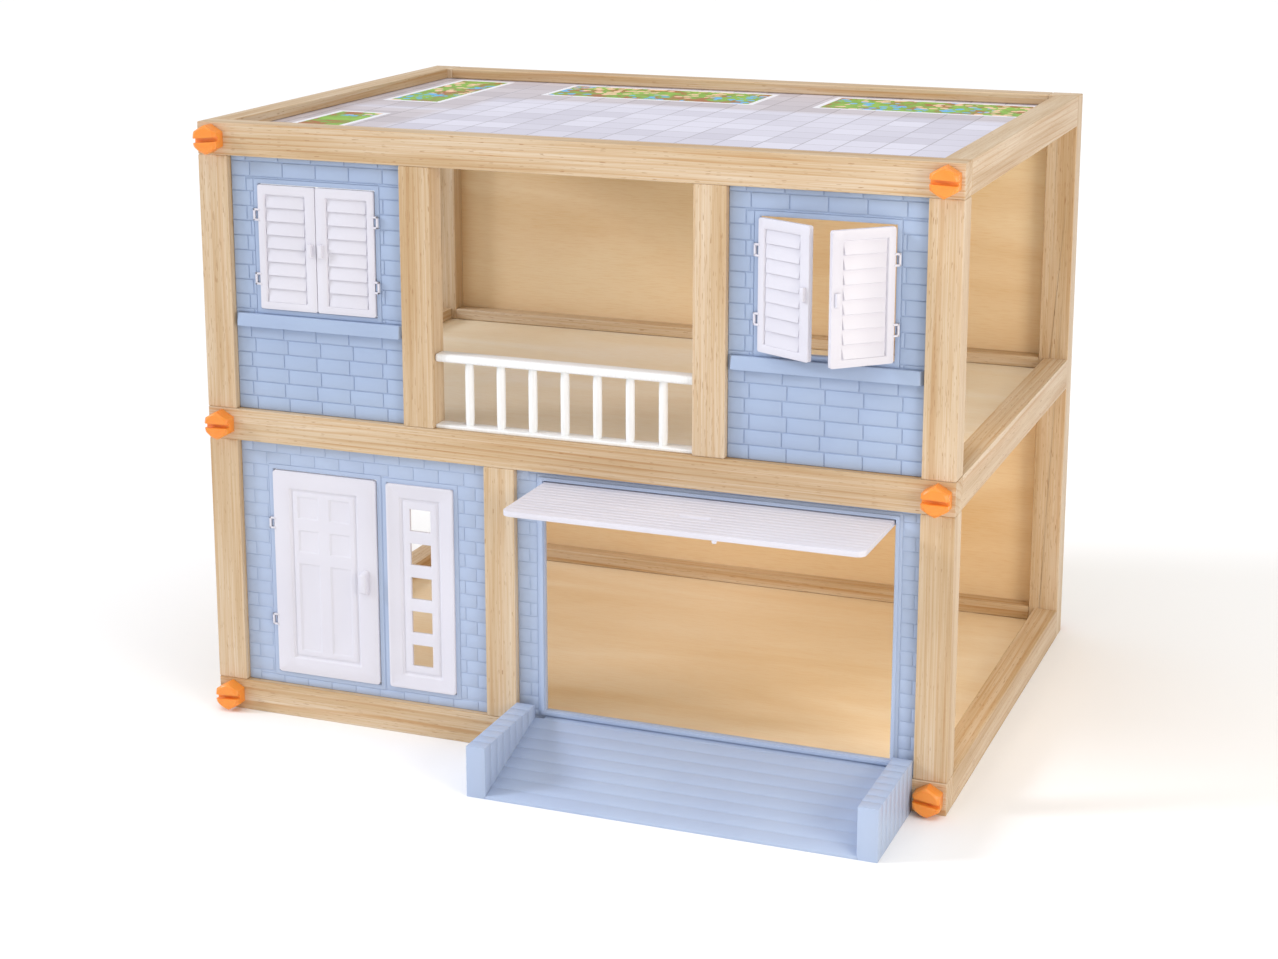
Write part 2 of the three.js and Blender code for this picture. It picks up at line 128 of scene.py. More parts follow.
def linear(hex_colour: str) -> tuple[float, float, float, float]:
    """Turns an sRGB hex colour into linear values.

    Args:
        hex_colour: Six hex digits after a hash.

    Returns:
        Red, green, blue and an alpha of 1.
    """
    channels = [int(hex_colour[i : i + 2], 16) / 255 for i in (1, 3, 5)]
    curve = [c / 12.92 if c <= 0.04045 else ((c + 0.055) / 1.055) ** 2.4 for c in channels]
    return (*curve, 1.0)


def box_of(xs: Sequence[float], ys: Sequence[float], zs: Sequence[float]) -> Box:
    """Makes a box from two values on each axis, in either order.

    Args:
        xs: The two values along X.
        ys: The two values along Y.
        zs: The two values along Z.

    Returns:
        The lowest and the highest corner.
    """
    return Vector(map(min, (xs, ys, zs))), Vector(map(max, (xs, ys, zs)))


# ---------------------------------------------------------------- materials


class Shading:
    """A material's node tree while it is put together."""

    def __init__(self, name: str) -> None:
        """Starts a material with only a Principled shader and its output.

        Args:
            name: The material's name.
        """
        self.material = bpy.data.materials.new(name)
        self.material.use_nodes = True
        self.tree = self.material.node_tree
        self.shader = self.tree.nodes["Principled BSDF"]

    def add(self, kind: str, settings: dict | None = None, **links: object) -> bpy.types.Node:
        """Adds a node with its settings and its inputs.

        Args:
            kind: The node's Blender type.
            settings: Its own properties.
            **links: Inputs by name, with _ for a space, or in0, in1 by place. An output
                socket is linked, and anything else is set as the value.

        Returns:
            The node.
        """
        node = self.tree.nodes.new(kind)
        for key, value in (settings or {}).items():
            setattr(node, key, value)
        for key, value in links.items():
            place = int(key[2:]) if key[:2] == "in" and key[2:].isdigit() else key.replace("_", " ")
            if isinstance(value, bpy.types.NodeSocket):
                self.tree.links.new(value, node.inputs[place])
            else:
                node.inputs[place].default_value = value
        return node

    def drive(self, socket: str, value: object) -> None:
        """Links an output to one of the shader's sockets, or sets the socket's value.

        Args:
            socket: The shader socket's name.
            value: The output, or the value.
        """
        if isinstance(value, bpy.types.NodeSocket):
            self.tree.links.new(value, self.shader.inputs[socket])
        else:
            self.shader.inputs[socket].default_value = value

    def ramp(self, factor: Socket, stops: Sequence[tuple[float, str]]) -> Socket:
        """Adds a colour ramp.

        Args:
            factor: The output that drives it.
            stops: Places from 0 to 1, each with its hex colour.

        Returns:
            The ramp's colour output.
        """
        node = self.add("ShaderNodeValToRGB", Fac=factor)
        elements = node.color_ramp.elements
        while len(elements) < len(stops):
            elements.new(0.5)
        for element, (place, colour) in zip(elements, stops):
            element.position = place
            element.color = linear(colour)
        return node.outputs["Color"]

    def mix(self, factor: object, first: object, second: object, blend: Blend = Blend.COVER) -> Socket:
        """Mixes two colours, each given as a value or an output.

        Args:
            factor: How much of the second shows.
            first: The colour below.
            second: The colour laid over it.
            blend: The way it is laid.

        Returns:
            The mixed colour's output.
        """
        settings = {"data_type": "RGBA", "blend_type": blend.value}
        return self.add("ShaderNodeMix", settings, in0=factor, in6=first, in7=second).outputs[2]

    def bump(self, height: Socket, strength: float, distance: float) -> None:
        """Gives the surface a fine relief.

        Args:
            height: The output that says how high the surface stands, from 0 to 1.
            strength: How much of the relief shows.
            distance: The relief's height in metres.
        """
        node = self.add("ShaderNodeBump", Height=height, Strength=strength, Distance=distance)
        self.drive("Normal", node.outputs["Normal"])


@dataclass(frozen=True)
class Timber:
    """Planed softwood under clear lacquer: pale early wood between thin, darker late-wood lines."""

    name: str = "planed pine"
    pale: str = "#DCCAB2"
    mid: str = "#D3BD9F"
    dark: str = "#C5A983"
    fleck: str = "#9C6B38"
    ring_spacing: float = 4.6 * MM
    ring_wander: float = 9.0
    stretch: float = 16.0
    band_width: float = 16 * MM
    band_length: float = 300 * MM
    fleck_width: float = 0.55 * MM
    fleck_length: float = 8 * MM
    patch_width: float = 14 * MM
    patch_length: float = 150 * MM
    fibre_width: float = 0.8 * MM
    fibre_length: float = 60 * MM
    post_figure: float = 0.55
    least_figure: float = 0.35
    roughness: float = 0.48
    grain_step: tuple[float, float, float] = (3.7, 7.1, 5.3)
    heart_away: float = 55 * MM
    heart_turn: float = 2.4
    heart_slide: float = 90 * MM
    wave_period: float = 0.314
    fleck_share: float = 0.6
    coat: float = 0.12
    coat_roughness: float = 0.35

    def material(self, axis: Axis, number: int, centre: Vector) -> bpy.types.Material:
        """Makes the finish of one length of timber.

        Args:
            axis: The way its grain runs.
            number: The piece's place in the build, which moves its grain.
            centre: The middle of the piece, to set the log's heart beside it.

        Returns:
            The material.
        """
        shade = Shading(f"{self.name} {number}")
        place = shade.add("ShaderNodeTexCoord").outputs["Object"]
        moved = tuple(step * number for step in self.grain_step)

        def stretched(across: float, along: float) -> Socket:
            """Scales a pattern to the grain.

            Args:
                across: Its size across the grain.
                along: Its size along the grain.

            Returns:
                The scaled place.
            """
            scale = [1 / across] * 3
            scale[axis.value] = 1 / along
            return shade.add("ShaderNodeMapping", Vector=place, Location=moved, Scale=scale).outputs[0]

        # The log's heart lies beside the piece, another way for each, so no two show the same rings.
        turn = self.heart_turn * number
        heart = [self.heart_away * math.sin(turn)] * 2 + [self.heart_away * math.cos(turn)]
        if axis is Axis.Z:
            heart[0], heart[1] = heart[0], heart[2]
        beside = [-(centre[i] + heart[i]) for i in range(3)]
        beside[axis.value] = self.heart_slide * number
        near = shade.add("ShaderNodeMapping", Vector=place, Location=beside).outputs[0]
        # The wave node's rings repeat over wave_period at a scale of 1.
        period = self.wave_period / self.ring_spacing
        scale = [period] * 3
        scale[axis.value] = period / self.stretch
        log = shade.add("ShaderNodeMapping", Vector=near, Scale=scale).outputs[0]
        rings = shade.add(
            "ShaderNodeTexWave",
            {"wave_type": "RINGS", "rings_direction": axis.name, "wave_profile": "SAW"},
            Vector=log,
            Scale=1.0,
            Distortion=self.ring_wander,
            Detail=2.0,
            Detail_Scale=0.35,
            Detail_Roughness=0.55,
        ).outputs["Fac"]
        bands = shade.add(
            "ShaderNodeTexNoise",
            Vector=stretched(self.band_width, self.band_length),
            Scale=1.0,
            Detail=2.0,
        ).outputs["Fac"]
        flecks = shade.add(
            "ShaderNodeTexNoise",
            Vector=stretched(self.fleck_width, self.fleck_length),
            Scale=1.0,
            Detail=0.0,
        ).outputs["Fac"]
        fibres = shade.add(
            "ShaderNodeTexNoise",
            Vector=stretched(self.fibre_width, self.fibre_length),
            Scale=1.0,
            Detail=3.0,
        ).outputs["Fac"]
        wide = shade.ramp(bands, [(0.34, self.pale), (0.52, self.mid), (0.70, self.dark)])
        late = shade.ramp(rings, [(0.0, "#FFFFFF"), (0.6, "#FCF8F1"), (0.9, "#EACFA8"), (1.0, "#FAF4EA")])
        thread = shade.ramp(fibres, [(0.35, "#FFFFFF"), (0.68, "#F1E4D0")])
        patches = shade.add(
            "ShaderNodeTexNoise",
            Vector=stretched(self.patch_width, self.patch_length),
            Scale=1.0,
            Detail=1.0,
        ).outputs["Fac"]
        most = self.post_figure if axis is Axis.Z else 1.0
        least = self.least_figure * most
        shown = shade.add(
            "ShaderNodeMapRange", Value=patches, in1=0.38, in2=0.64, in3=least, in4=most
        ).outputs[0]
        lined = shade.mix(shown, wide, shade.mix(1.0, wide, late, Blend.TINT))
        both = shade.mix(1.0, lined, thread, Blend.TINT)
        spots = shade.add("ShaderNodeMapRange", Value=flecks, in1=0.73, in2=0.78).outputs[0]
        faint = shade.add(
            "ShaderNodeMath", {"operation": "MULTIPLY"}, in0=spots, in1=self.fleck_share
        ).outputs[0]
        shade.drive("Base Color", shade.mix(faint, both, linear(self.fleck)))
        shade.drive("Roughness", self.roughness)
        shade.drive("Coat Weight", self.coat)
        shade.drive("Coat Roughness", self.coat_roughness)
        return shade.material


@dataclass(frozen=True)
class Plywood:
    """Sanded birch plywood: a broad, soft figure with little contrast."""

    name: str = "sanded birch plywood"
    pale: str = "#F8E8CB"
    mid: str = "#F3DEBB"
    dark: str = "#ECD2A8"
    figure_width: float = 70 * MM
    figure_length: float = 360 * MM
    pore_width: float = 0.7 * MM
    pore_length: float = 11 * MM
    pore_share: float = 0.05
    pore_relief: float = 0.04 * MM
    roughness: float = 0.55

    def material(self) -> bpy.types.Material:
        """Makes the finish.

        Returns:
            The material.
        """
        shade = Shading(self.name)
        place = shade.add("ShaderNodeTexCoord").outputs["Object"]
        wide_scale = (1 / self.figure_length, 1 / self.figure_width, 1 / self.figure_width)
        fine_scale = (1 / self.pore_length, 1 / self.pore_width, 1 / self.pore_width)
        wide_space = shade.add("ShaderNodeMapping", Vector=place, Scale=wide_scale).outputs[0]
        fine_space = shade.add("ShaderNodeMapping", Vector=place, Scale=fine_scale).outputs[0]
        figure = shade.add(
            "ShaderNodeTexNoise", Vector=wide_space, Scale=1.0, Detail=3.0, Distortion=1.2
        ).outputs["Fac"]
        pores = shade.add("ShaderNodeTexNoise", Vector=fine_space, Scale=1.0, Detail=2.0).outputs["Fac"]
        tone = shade.ramp(figure, [(0.30, self.pale), (0.52, self.mid), (0.75, self.dark)])
        pored = shade.ramp(pores, [(0.45, "#FFFFFF"), (0.75, "#FAF4EA")])
        shade.drive("Base Color", shade.mix(1.0, tone, pored, Blend.TINT))
        shade.drive("Roughness", self.roughness)
        shade.bump(pores, self.pore_share, self.pore_relief)
        return shade.material


@dataclass(frozen=True)
class MouldedPlastic:
    """Injection-moulded plastic: one colour through and through, with a soft satin skin."""

    name: str
    colour: str
    shadow: str
    roughness: float = 0.4
    glow: float = 0.0
    glow_reach: float = 2.5 * MM
    skin_grain: float = 0.8 * MM
    flow_length: float = 60 * MM
    skin_share: float = 0.12
    skin_relief: float = 0.05 * MM
    gloss: float = 0.45
    glow_spread: tuple[float, float, float] = (1.0, 0.35, 0.12)

    def material(self) -> bpy.types.Material:
        """Makes the finish.

        Returns:
            The material.
        """
        shade = Shading(self.name)
        place = shade.add("ShaderNodeTexCoord").outputs["Object"]
        grain = shade.add(
            "ShaderNodeTexNoise", Vector=place, Scale=1 / self.skin_grain, Detail=2.0
        ).outputs["Fac"]
        flow = shade.add(
            "ShaderNodeTexNoise", Vector=place, Scale=1 / self.flow_length, Detail=1.0
        ).outputs["Fac"]
        shade.drive("Base Color", shade.ramp(flow, [(0.35, self.colour), (0.80, self.shadow)]))
        shade.drive("Roughness", self.roughness)
        shade.drive("Specular IOR Level", self.gloss)
        if self.glow:
            shade.drive("Subsurface Weight", self.glow)
            shade.drive("Subsurface Radius", self.glow_spread)
            shade.drive("Subsurface Scale", self.glow_reach)
        shade.bump(grain, self.skin_share, self.skin_relief)
        return shade.material


@dataclass(frozen=True)
class PaintedWood:
    """Turned beech under white lacquer: smooth, with the grain just felt through the paint."""

    name: str = "white lacquered beech"
    colour: str = "#F3F4F4"
    shadow: str = "#ECECEA"
    brush_width: float = 1.4 * MM
    brush_length: float = 22 * MM
    brush_share: float = 0.15
    brush_relief: float = 0.06 * MM
    roughness: float = 0.38
    coat: float = 0.2

    def material(self) -> bpy.types.Material:
        """Makes the finish.

        Returns:
            The material.
        """
        shade = Shading(self.name)
        place = shade.add("ShaderNodeTexCoord").outputs["Object"]
        scale = (1 / self.brush_width, 1 / self.brush_width, 1 / self.brush_length)
        space = shade.add("ShaderNodeMapping", Vector=place, Scale=scale).outputs[0]
        strokes = shade.add("ShaderNodeTexNoise", Vector=space, Scale=1.0, Detail=2.0).outputs["Fac"]
        shade.drive("Base Color", shade.ramp(strokes, [(0.35, self.colour), (0.8, self.shadow)]))
        shade.drive("Roughness", self.roughness)
        shade.drive("Coat Weight", self.coat)
        shade.bump(strokes, self.brush_share, self.brush_relief)
        return shade.material


@dataclass(frozen=True)
class PrintedTerrace:
    """Printed paper on board: a paved terrace with planted beds along two edges."""

    name: str = "printed terrace paper"
    tile: float = 30 * MM
    joint: float = 1.1 * MM
    border: float = 5 * MM
    leaf_patch: float = 24 * MM
    clump: float = 52.8 * MM
    blossom: float = 9 * MM
    blossom_share: float = 0.42
    hues_per_metre: float = 17.0
    warm_full: float = 30 * MM
    warm_reach: float = 45 * MM
    slabs: tuple[str, str] = ("#E2E0EE", "#CFCCDA")
    grout: str = "#A9A5AF"
    kerb: str = "#F1F0F6"
    warm: str = "#EEE7E0"
    roughness: float = 0.42
    beds: tuple[tuple[float, float, float, float], ...] = (
        (-0.145, 0.038, 0.150, 0.217),
        (0.100, 0.270, 0.150, 0.217),
        (-0.257, -0.213, 0.070, 0.217),
        (-0.257, -0.220, -0.095, -0.015),
    )

    def material(self) -> bpy.types.Material:
        """Makes the finish.

        Returns:
            The material.
        """
        shade = Shading(self.name)
        place = shade.add("ShaderNodeTexCoord").outputs["Object"]
        paving = shade.add(
            "ShaderNodeTexBrick",
            {"offset": 0.0, "squash": 1.0},
            Vector=place,
            Color1=linear(self.slabs[0]),
            Color2=linear(self.slabs[1]),
            Mortar=linear(self.grout),
            Scale=1.0,
            Mortar_Size=self.joint / 2,
            Mortar_Smooth=0.2,
            Brick_Width=self.tile,
            Row_Height=self.tile,
        ).outputs["Color"]
        patches = shade.add(
            "ShaderNodeTexNoise", Vector=place, Scale=1 / self.leaf_patch, Detail=4.0, Roughness=0.75
        ).outputs["Fac"]
        soil = shade.ramp(patches, [(0.40, "#8FBF3F"), (0.52, "#79A936"), (0.57, "#A9662F")])
        cells = shade.add("ShaderNodeTexVoronoi", Vector=place, Scale=1 / self.blossom)
        petals = shade.add(
            "ShaderNodeMath",
            {"operation": "LESS_THAN"},
            in0=cells.outputs["Distance"],
            in1=self.blossom_share,
        )
        clumps = shade.add("ShaderNodeTexNoise", Vector=place, Scale=1 / self.clump, Detail=0.0)
        grouped = shade.ramp(clumps.outputs["Fac"], [(0.44, "#000000"), (0.46, "#FFFFFF")])
        hues = shade.add("ShaderNodeTexNoise", Vector=place, Scale=self.hues_per_metre, Detail=0.0)
        hue = shade.ramp(hues.outputs["Fac"], [(0.48, "#5FB6EC"), (0.52, "#F6CBA6")])
        shown = shade.mix(1.0, petals.outputs[0], grouped, Blend.TINT)
        planted = shade.mix(shown, soil, hue)
        nearest = None
        for low_x, high_x, low_y, high_y in self.beds:
            centre = ((low_x + high_x) / 2, (low_y + high_y) / 2, 0.0)
            half = ((high_x - low_x) / 2, (high_y - low_y) / 2, 0.0)
            away = shade.add("ShaderNodeVectorMath", {"operation": "SUBTRACT"}, in0=place, in1=centre)
            size = shade.add("ShaderNodeVectorMath", {"operation": "ABSOLUTE"}, in0=away.outputs[0])
            past = shade.add(
                "ShaderNodeVectorMath", {"operation": "SUBTRACT"}, in0=size.outputs[0], in1=half
            )
            parts = shade.add("ShaderNodeSeparateXYZ", Vector=past.outputs[0])
            edge = shade.add(
                "ShaderNodeMath", {"operation": "MAXIMUM"}, in0=parts.outputs[0], in1=parts.outputs[1]
            ).outputs[0]
            if nearest is not None:
                edge = shade.add(
                    "ShaderNodeMath", {"operation": "MINIMUM"}, in0=edge, in1=nearest
                ).outputs[0]
            nearest = edge
        kerb = shade.add("ShaderNodeMath", {"operation": "LESS_THAN"}, in0=nearest, in1=self.border)
        inside = shade.add("ShaderNodeMath", {"operation": "LESS_THAN"}, in0=nearest, in1=0.0)
        warmed = shade.mix(1.0, paving, linear(self.warm), Blend.TINT)
        close = shade.add(
            "ShaderNodeMapRange", Value=nearest, in1=self.warm_reach, in2=self.warm_full
        ).outputs[0]
        paving = shade.mix(close, paving, warmed)
        edged = shade.mix(kerb.outputs[0], paving, linear(self.kerb))
        shade.drive("Base Color", shade.mix(inside.outputs[0], edged, planted))
        shade.drive("Roughness", self.roughness)
        return shade.material


# ---------------------------------------------------------------- the bench
def at(**places: float | Sequence[float]) -> Test:
    """Makes a test for corners that lie at given places.

    Args:
        **places: For each axis that counts, its place, or the places of which one will do.

    Returns:
        A function that tells whether a corner lies there.
    """
    options = {key: p if isinstance(p, Sequence) else (p,) for key, p in places.items()}

    def lies_there(corner: Vector) -> bool:
        """Tells whether the corner is at one of the places on every axis that counts."""
        return all(
            any(abs(getattr(corner, key) - place) < TOUCH for place in some)
            for key, some in options.items()
        )

    return lies_there


def add_block(box: Box) -> None:
    """Adds a block to the scene, or to the mesh in edit mode."""
    low, high = box
    bpy.ops.mesh.primitive_cube_add(size=1, location=(low + high) / 2, scale=high - low)


def add_bar(start: Vector, end: Vector, radius: float, sides: int) -> None:
    """Adds a round or many-sided bar to the scene, or to the mesh in edit mode.

    Args:
        start: The middle of one end.
        end: The middle of the other end.
        radius: The radius at the corners.
        sides: How many sides it has.
    """
    along = end - start
    bpy.ops.mesh.primitive_cylinder_add(
        vertices=sides,
        radius=radius,
        depth=along.length,
        location=(start + end) / 2,
        rotation=along.to_track_quat("Z", "Y").to_euler(),
    )


def dress(obj: bpy.types.Object, material: bpy.types.Material) -> None:
    """Gives an object one finish in place of what it had."""
    obj.data.materials.clear()
    obj.data.materials.append(material)
class Workpiece:
    """One mesh while it is shaped by hand: blocks, cuts, insets and rounded edges."""

    def __init__(self, name: str, first: Box) -> None:
        """Starts the piece with a block.

        Args:
            name: The piece's name.
            first: The block's lowest and highest corner.
        """
        bpy.ops.object.select_all(action="DESELECT")
        add_block(first)
        self._settle(name)

    @classmethod
    def round(cls, name: str, span: Sequence[Vector], radius: float, sides: int) -> "Workpiece":
        """Starts a piece with a round or many-sided bar.

        Args:
            name: The piece's name.
            span: The middle of each end.
            radius: The radius at the corners.
            sides: How many sides it has.

        Returns:
            The workpiece.
        """
        self = cls.__new__(cls)
        bpy.ops.object.select_all(action="DESELECT")
        add_bar(span[0], span[1], radius, sides)
        self._settle(name)
        return self

    def _settle(self, name: str) -> None:
        """Names the new mesh and puts its place into its corners.

        Args:
            name: The piece's name.
        """
        bpy.ops.object.transform_apply(location=True, rotation=True, scale=True)
        self.obj = bpy.context.active_object
        self.obj.name = name
        self.obj.data.name = name

    def _pick(self) -> None:
        """Selects this piece alone."""
        bpy.ops.object.select_all(action="DESELECT")
        self.obj.select_set(True)
        bpy.context.view_layer.objects.active = self.obj

    def _edit(self, select: Select = Select.FACES) -> bmesh.types.BMesh:
        """Opens the piece in edit mode with nothing selected.

        Args:
            select: What can then be selected.

        Returns:
            The mesh.
        """
        bpy.context.view_layer.objects.active = self.obj
        bpy.ops.object.mode_set(mode="EDIT")
        bpy.ops.mesh.select_mode(type=select.value)
        bpy.ops.mesh.select_all(action="DESELECT")
        return bmesh.from_edit_mesh(self.obj.data)

    def _edit_corners(self, wanted: Test) -> None:
        """Opens the piece in edit mode with some corners selected.

        Args:
            wanted: Tells which corners, by their place.
        """
        for vert in self._edit(Select.CORNERS).verts:
            vert.select_set(wanted(vert.co))
        bmesh.update_edit_mesh(self.obj.data)

    def _edit_faces(self, wanted: Callable[[Vector, Vector], bool]) -> None:
        """Opens the piece in edit mode with some faces selected.

        Args:
            wanted: Tells which faces, by their middle and their normal.
        """
        for face in self._edit().faces:
            if wanted(face.calc_center_median(), face.normal):
                face.select_set(True)
        bmesh.update_edit_mesh(self.obj.data)

    def _close(self) -> "Workpiece":
        """Goes back to object mode and returns the workpiece."""
        bpy.ops.object.mode_set(mode="OBJECT")
        return self

    def blocks(self, boxes: Iterable[Box]) -> "Workpiece":
        """Adds more blocks to the piece.

        Args:
            boxes: Each block's lowest and highest corner.

        Returns:
            The workpiece.
        """
        self._edit()
        for box in boxes:
            add_block(box)
        return self._close()

    def bar(self, start: Vector, end: Vector, radius: float, sides: int) -> "Workpiece":
        """Adds a round bar to the piece.

        Args:
            start: The middle of one end.
            end: The middle of the other end.
            radius: The bar's radius.
            sides: How many sides it has.

        Returns:
            The workpiece.
        """
        self._edit()
        add_bar(start, end, radius, sides)
        return self._close()

    def cut_lines(self, cuts: Iterable[tuple[Axis, float]]) -> "Workpiece":
        """Cuts edges all round the piece.

        Args:
            cuts: The axis that each cut stands across, and its place there.

        Returns:
            The workpiece.
        """
        self._edit()
        for axis, place in cuts:
            point, normal = Vector(), Vector()
            point[axis.value] = place
            normal[axis.value] = 1
            bpy.ops.mesh.select_all(action="SELECT")
            bpy.ops.mesh.bisect(plane_co=point, plane_no=normal)
        return self._close()
    def recess(
        self, area: Box, slope: float, depth: float, facing: Axis = Axis.Y, way: int = -1
    ) -> "Workpiece":
        """Sinks an area of one face with sloping sides.

        Args:
            area: A box round the area's faces.
            slope: The width of the sloping sides.
            depth: How deep the area goes, or how far it stands out if negative.
            facing: The axis that the face looks along.
            way: 1 if it looks along the axis, or -1 if it looks back.

        Returns:
            The workpiece.
        """
        low, high = area
        flat = [axis for axis in Axis if axis is not facing]
        self.cut_lines([(axis, end[axis.value]) for axis in flat for end in (low, high)])
        self._edit_faces(
            lambda c, n: way * n[facing.value] > ALONG and all(low[i] < c[i] < high[i] for i in range(3))
        )
        bpy.ops.mesh.inset(thickness=slope, depth=-depth, use_even_offset=True)
        return self._close()

    def opening(self, xs: Pair, zs: Pair) -> "Workpiece":
        """Cuts a rectangular opening from the front through to the back.

        Args:
            xs: Its sides.
            zs: Its foot and its head.

        Returns:
            The workpiece.
        """
        self.cut_lines([*((Axis.X, x) for x in xs), *((Axis.Z, z) for z in zs)])
        self._edit_faces(
            lambda c, n: abs(n.y) > ALONG and xs[0] < c.x < xs[1] and zs[0] < c.z < zs[1]
        )
        bpy.ops.mesh.bridge_edge_loops()
        return self._close()

    def move_corners(self, wanted: Test, by: Vector) -> "Workpiece":
        """Moves some corners.

        Args:
            wanted: Tells which corners, by their place.
            by: How far they move.

        Returns:
            The workpiece.
        """
        self._edit_corners(wanted)
        bpy.ops.transform.translate(value=by)
        return self._close()

    def draw_in(self, wanted: Test, scale: Vector, centre: Vector) -> "Workpiece":
        """Draws some corners towards a point.

        Args:
            wanted: Tells which corners, by their place.
            scale: What is left of each distance from the point, on each axis.
            centre: The point.

        Returns:
            The workpiece.
        """
        self._edit_corners(wanted)
        bpy.ops.transform.resize(value=scale, center_override=centre)
        return self._close()

    def copy(self, name: str, by: Vector) -> "Workpiece":
        """Copies the piece, with a mesh of its own.

        Args:
            name: The copy's name.
            by: How far the copy is moved.

        Returns:
            The copy.
        """
        self._pick()
        bpy.ops.object.duplicate(linked=False)
        bpy.ops.transform.translate(value=by)
        twin = Workpiece.__new__(Workpiece)
        twin._settle(name)
        return twin

    def discard(self) -> None:
        """Takes the piece off the bench."""
        bpy.data.objects.remove(self.obj)

    def moulding(self, area: Box, slope: float, depth: float, rise: float) -> "Workpiece":
        """Sinks an area of the front, and lifts its middle a little, as a framed panel has.

        Args:
            area: A box round the area's faces.
            slope: The width of the outer slope.
            depth: How deep the area goes.
            rise: How far the middle comes back up.

        Returns:
            The workpiece.
        """
        self.recess(area, slope, depth)
        inset = Vector((2 * slope, 0, 2 * slope))
        return self.recess((area[0] + inset, area[1] - inset), 0.7 * slope, -rise)

    def round_edges(self, radius: float, wanted: Callable[[Vector, Vector], bool]) -> "Workpiece":
        """Rounds some edges.

        Args:
            radius: How far the rounding reaches.
            wanted: Tells which edges, by their middle and their direction.

        Returns:
            The workpiece.
        """
        for edge in self._edit(Select.EDGES).edges:
            start, end = (v.co for v in edge.verts)
            edge.select_set(wanted((start + end) / 2, (end - start).normalized()))
        bmesh.update_edit_mesh(self.obj.data)
        bpy.ops.mesh.bevel(offset=radius, segments=5)
        return self._close()

    def round_outline(self, radius: float, low: Vector, high: Vector) -> "Workpiece":
        """Rounds the four outer edges of a board that run from front to back.

        Args:
            radius: How far the rounding reaches.
            low: The board's lowest corner.
            high: The board's highest corner.

        Returns:
            The workpiece.
        """
        at_corner = at(x=(low.x, high.x), z=(low.z, high.z))
        return self.round_edges(radius, lambda middle, along: at_corner(middle) and abs(along.y) > ALONG)

    def soften(self, width: float, segments: int = 2, angle: float = 30.0) -> "Workpiece":
        """Rounds the sharp edges.

        Args:
            width: How far the rounding reaches.
            segments: How many faces it has.
            angle: The least turn of a sharp edge, in degrees.

        Returns:
            The workpiece.
        """
        bpy.context.view_layer.objects.active = self.obj
        bevel = self.obj.modifiers.new("soft edges", "BEVEL")
        bevel.width = width
        bevel.segments = segments
        bevel.limit_method = "ANGLE"
        bevel.angle_limit = math.radians(angle)
        bpy.ops.object.modifier_apply(modifier=bevel.name)
        return self

    def combine(self, other: "Workpiece", cut: Cut) -> "Workpiece":
        """Cuts this piece with another, which is used up.

        Args:
            other: The cutter.
            cut: What is left of this piece.

        Returns:
            The workpiece.
        """
        bpy.context.view_layer.objects.active = self.obj
        boolean = self.obj.modifiers.new("cut", "BOOLEAN")
        boolean.object = other.obj
        boolean.operation = cut.value
        boolean.solver = "EXACT"
        bpy.ops.object.modifier_apply(modifier=boolean.name)
        other.discard()
        return self

    def join(self, other: "Workpiece") -> "Workpiece":
        """Joins another piece to this one.

        Args:
            other: The piece, which is used up.

        Returns:
            The workpiece.
        """
        self._pick()
        other.obj.select_set(True)
        bpy.ops.object.join()
        return self

    def turn(self, axis: Axis, angle: float, pivot: Vector) -> "Workpiece":
        """Turns the whole piece, by the right-hand rule.

        Args:
            axis: The axis it turns about.
            angle: How far, in radians.
            pivot: A point that stays where it is.

        Returns:
            The workpiece.
        """
        self._edit()
        bpy.ops.mesh.select_all(action="SELECT")
        bpy.ops.transform.rotate(value=-angle, orient_axis=axis.name, center_override=pivot)
        return self._close()

    def finish(self, body: str, slot: str, material: bpy.types.Material, *nodes: str) -> None:
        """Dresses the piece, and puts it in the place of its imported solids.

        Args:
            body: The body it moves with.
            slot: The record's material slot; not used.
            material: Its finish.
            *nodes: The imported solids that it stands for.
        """
        self._pick()
        bpy.ops.object.shade_smooth_by_angle(angle=SOFT_ANGLE)
        dress(self.obj, material)
        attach(self.obj, body)
        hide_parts(*nodes)
        LOG.info("%s: %d faces", self.obj.name, len(self.obj.data.polygons))


# ---------------------------------------------------------------- sub-assemblies


